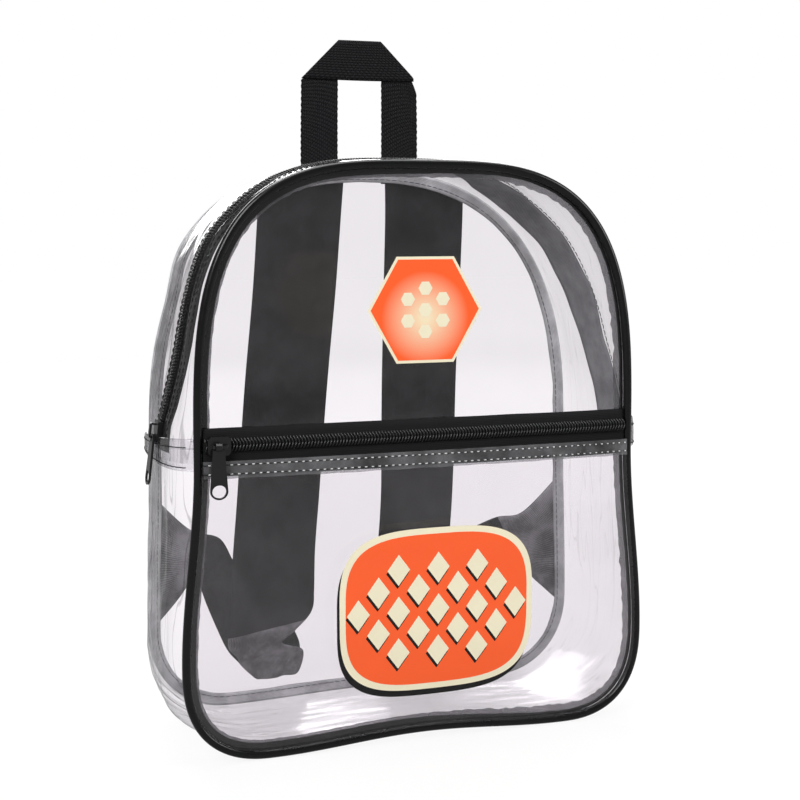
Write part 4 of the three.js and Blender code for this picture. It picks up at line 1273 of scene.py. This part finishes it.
print_layer("plaque_shadow", [plaque(-1.4, -3.2)], ink_on_pocket, 0.0, black_ink)
print_layer("plaque_border", [plaque()], ink_on_pocket, 0.06, cream_ink)
print_layer("plaque_field", [plaque(trim=3.2)], ink_on_pocket, 0.12, orange_ink)
DIAMOND_STEP = 11.0
DIAMOND_HALF_W, DIAMOND_HALF_H = 6.2, 8.2
diamonds, shades = [], []
for row in range(-3, 4):
    for column in range(-4, 5):
        dx, dz = column * DIAMOND_STEP, row * DIAMOND_STEP
        reach = ((abs(dx) / (PLAQUE_HALF_W - 10)) ** PLAQUE_POWER
                 + (abs(dz) / (PLAQUE_HALF_H - 11)) ** PLAQUE_POWER)
        if (row + column) % 2 or reach > 1:
            continue
        cx, cz = PLAQUE_X + dx, PLAQUE_Z + dz
        diamonds.append([(cx + DIAMOND_HALF_W, cz), (cx, cz + DIAMOND_HALF_H),
                         (cx - DIAMOND_HALF_W, cz), (cx, cz - DIAMOND_HALF_H)])
        shades.append([(x - 0.6, z - 1.6) for x, z in diamonds[-1]])
print_layer("plaque_diamond_shade", shades, ink_on_pocket, 0.18, black_ink)
print_layer("plaque_diamonds", diamonds, ink_on_pocket, 0.24, cream_ink)
print("prints made")

# %% [markdown]
# ## Studio
# A pale floor and large soft lamps. The world is white to the lens, as a lit backdrop is, and
# dimmer as a light, so that black vinyl stays black and the lamps draw its highlights.

# %% Floor, world and lamps
floor_mesh = bpy.data.meshes.new("studio_floor")
reach = 6.0
floor_mesh.from_pydata([(-reach, -reach, 0), (reach, -reach, 0), (reach, reach, 0), (-reach, reach, 0)],
                       [], [(0, 1, 2, 3)])
floor = scene_object("studio_floor", floor_mesh)
floor.location.z = solid_box[0][2]
floor_paint, floor_tree = new_material("matt_white_floor")
floor_grain = node(floor_tree, "ShaderNodeTexNoise", {"Scale": 3.0, "Detail": 2.0}).outputs["Fac"]
# The floor is lifted to backdrop white for the lens alone, so it throws no light up into the bag
floor_far = node(floor_tree, "ShaderNodeVectorMath", {0: object_place(floor_tree)},
                 operation="LENGTH").outputs["Value"]
floor_level = ranged(floor_tree, floor_far, 0.5, 3.0, 0.62, 0.72)
floor_seen = node(floor_tree, "ShaderNodeLightPath").outputs["Is Camera Ray"]
finish_material(floor_tree, surface(
    floor_tree, Base_Color=blended(floor_tree, floor_grain, "#585858", "#606060"), Roughness=0.9,
    Specular_IOR_Level=0.1, Emission_Color=colour("#FFFFFF"),
    Emission_Strength=sums(floor_tree, "MULTIPLY_ADD", floor_seen, floor_level, 0.25)))
floor_mesh.materials.append(floor_paint)
floor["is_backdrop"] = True

WORLD_LIGHT = 0.24
world = bpy.data.worlds.new("studio")
bpy.context.scene.world = world
world.use_nodes = True
sky = world.node_tree
sky.nodes.clear()
seen, light = (node(sky, "ShaderNodeBackground", {"Color": colour("#FFFFFF"), "Strength": strength})
               for strength in (1.0, WORLD_LIGHT))
ray = node(sky, "ShaderNodeLightPath").outputs["Is Camera Ray"]
both = node(sky, "ShaderNodeMixShader", {"Fac": ray, 1: light.outputs[0], 2: seen.outputs[0]})
node(sky, "ShaderNodeOutputWorld", {"Surface": both.outputs[0]})


def soft_lamp(name, place, target, size, watts):
    data = bpy.data.lights.new(name, "AREA")
    data.shape = "RECTANGLE"
    data.size, data.size_y = size
    data.energy = watts
    lamp = scene_object(name, data)
    lamp.location = place
    aim(lamp, target)


soft_lamp("key_softbox", (-1.3, -1.2, 1.5), (0, 0, 0.15), (0.9, 1.3), 32)
soft_lamp("fill_softbox", (1.6, -0.9, 0.9), (0, 0, 0.15), (0.7, 1.4), 15)
soft_lamp("top_softbox", (0.1, 0.3, 2.0), (0, 0, 0.1), (1.6, 1.2), 27)
soft_lamp("back_softbox", (0.2, 1.7, 1.0), (0, 0, 0.15), (1.6, 1.0), 24)
bpy.context.scene.view_settings.view_transform = "Standard"

# %% Sizes and finish
scene_box = [list(map(float, corner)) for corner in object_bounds()]
for axis in range(3):
    grown = [round((solid_box[0][axis] - scene_box[0][axis]) * 1000, 2),
             round((scene_box[1][axis] - solid_box[1][axis]) * 1000, 2)]
    print("XYZ"[axis], "grows by mm", grown)
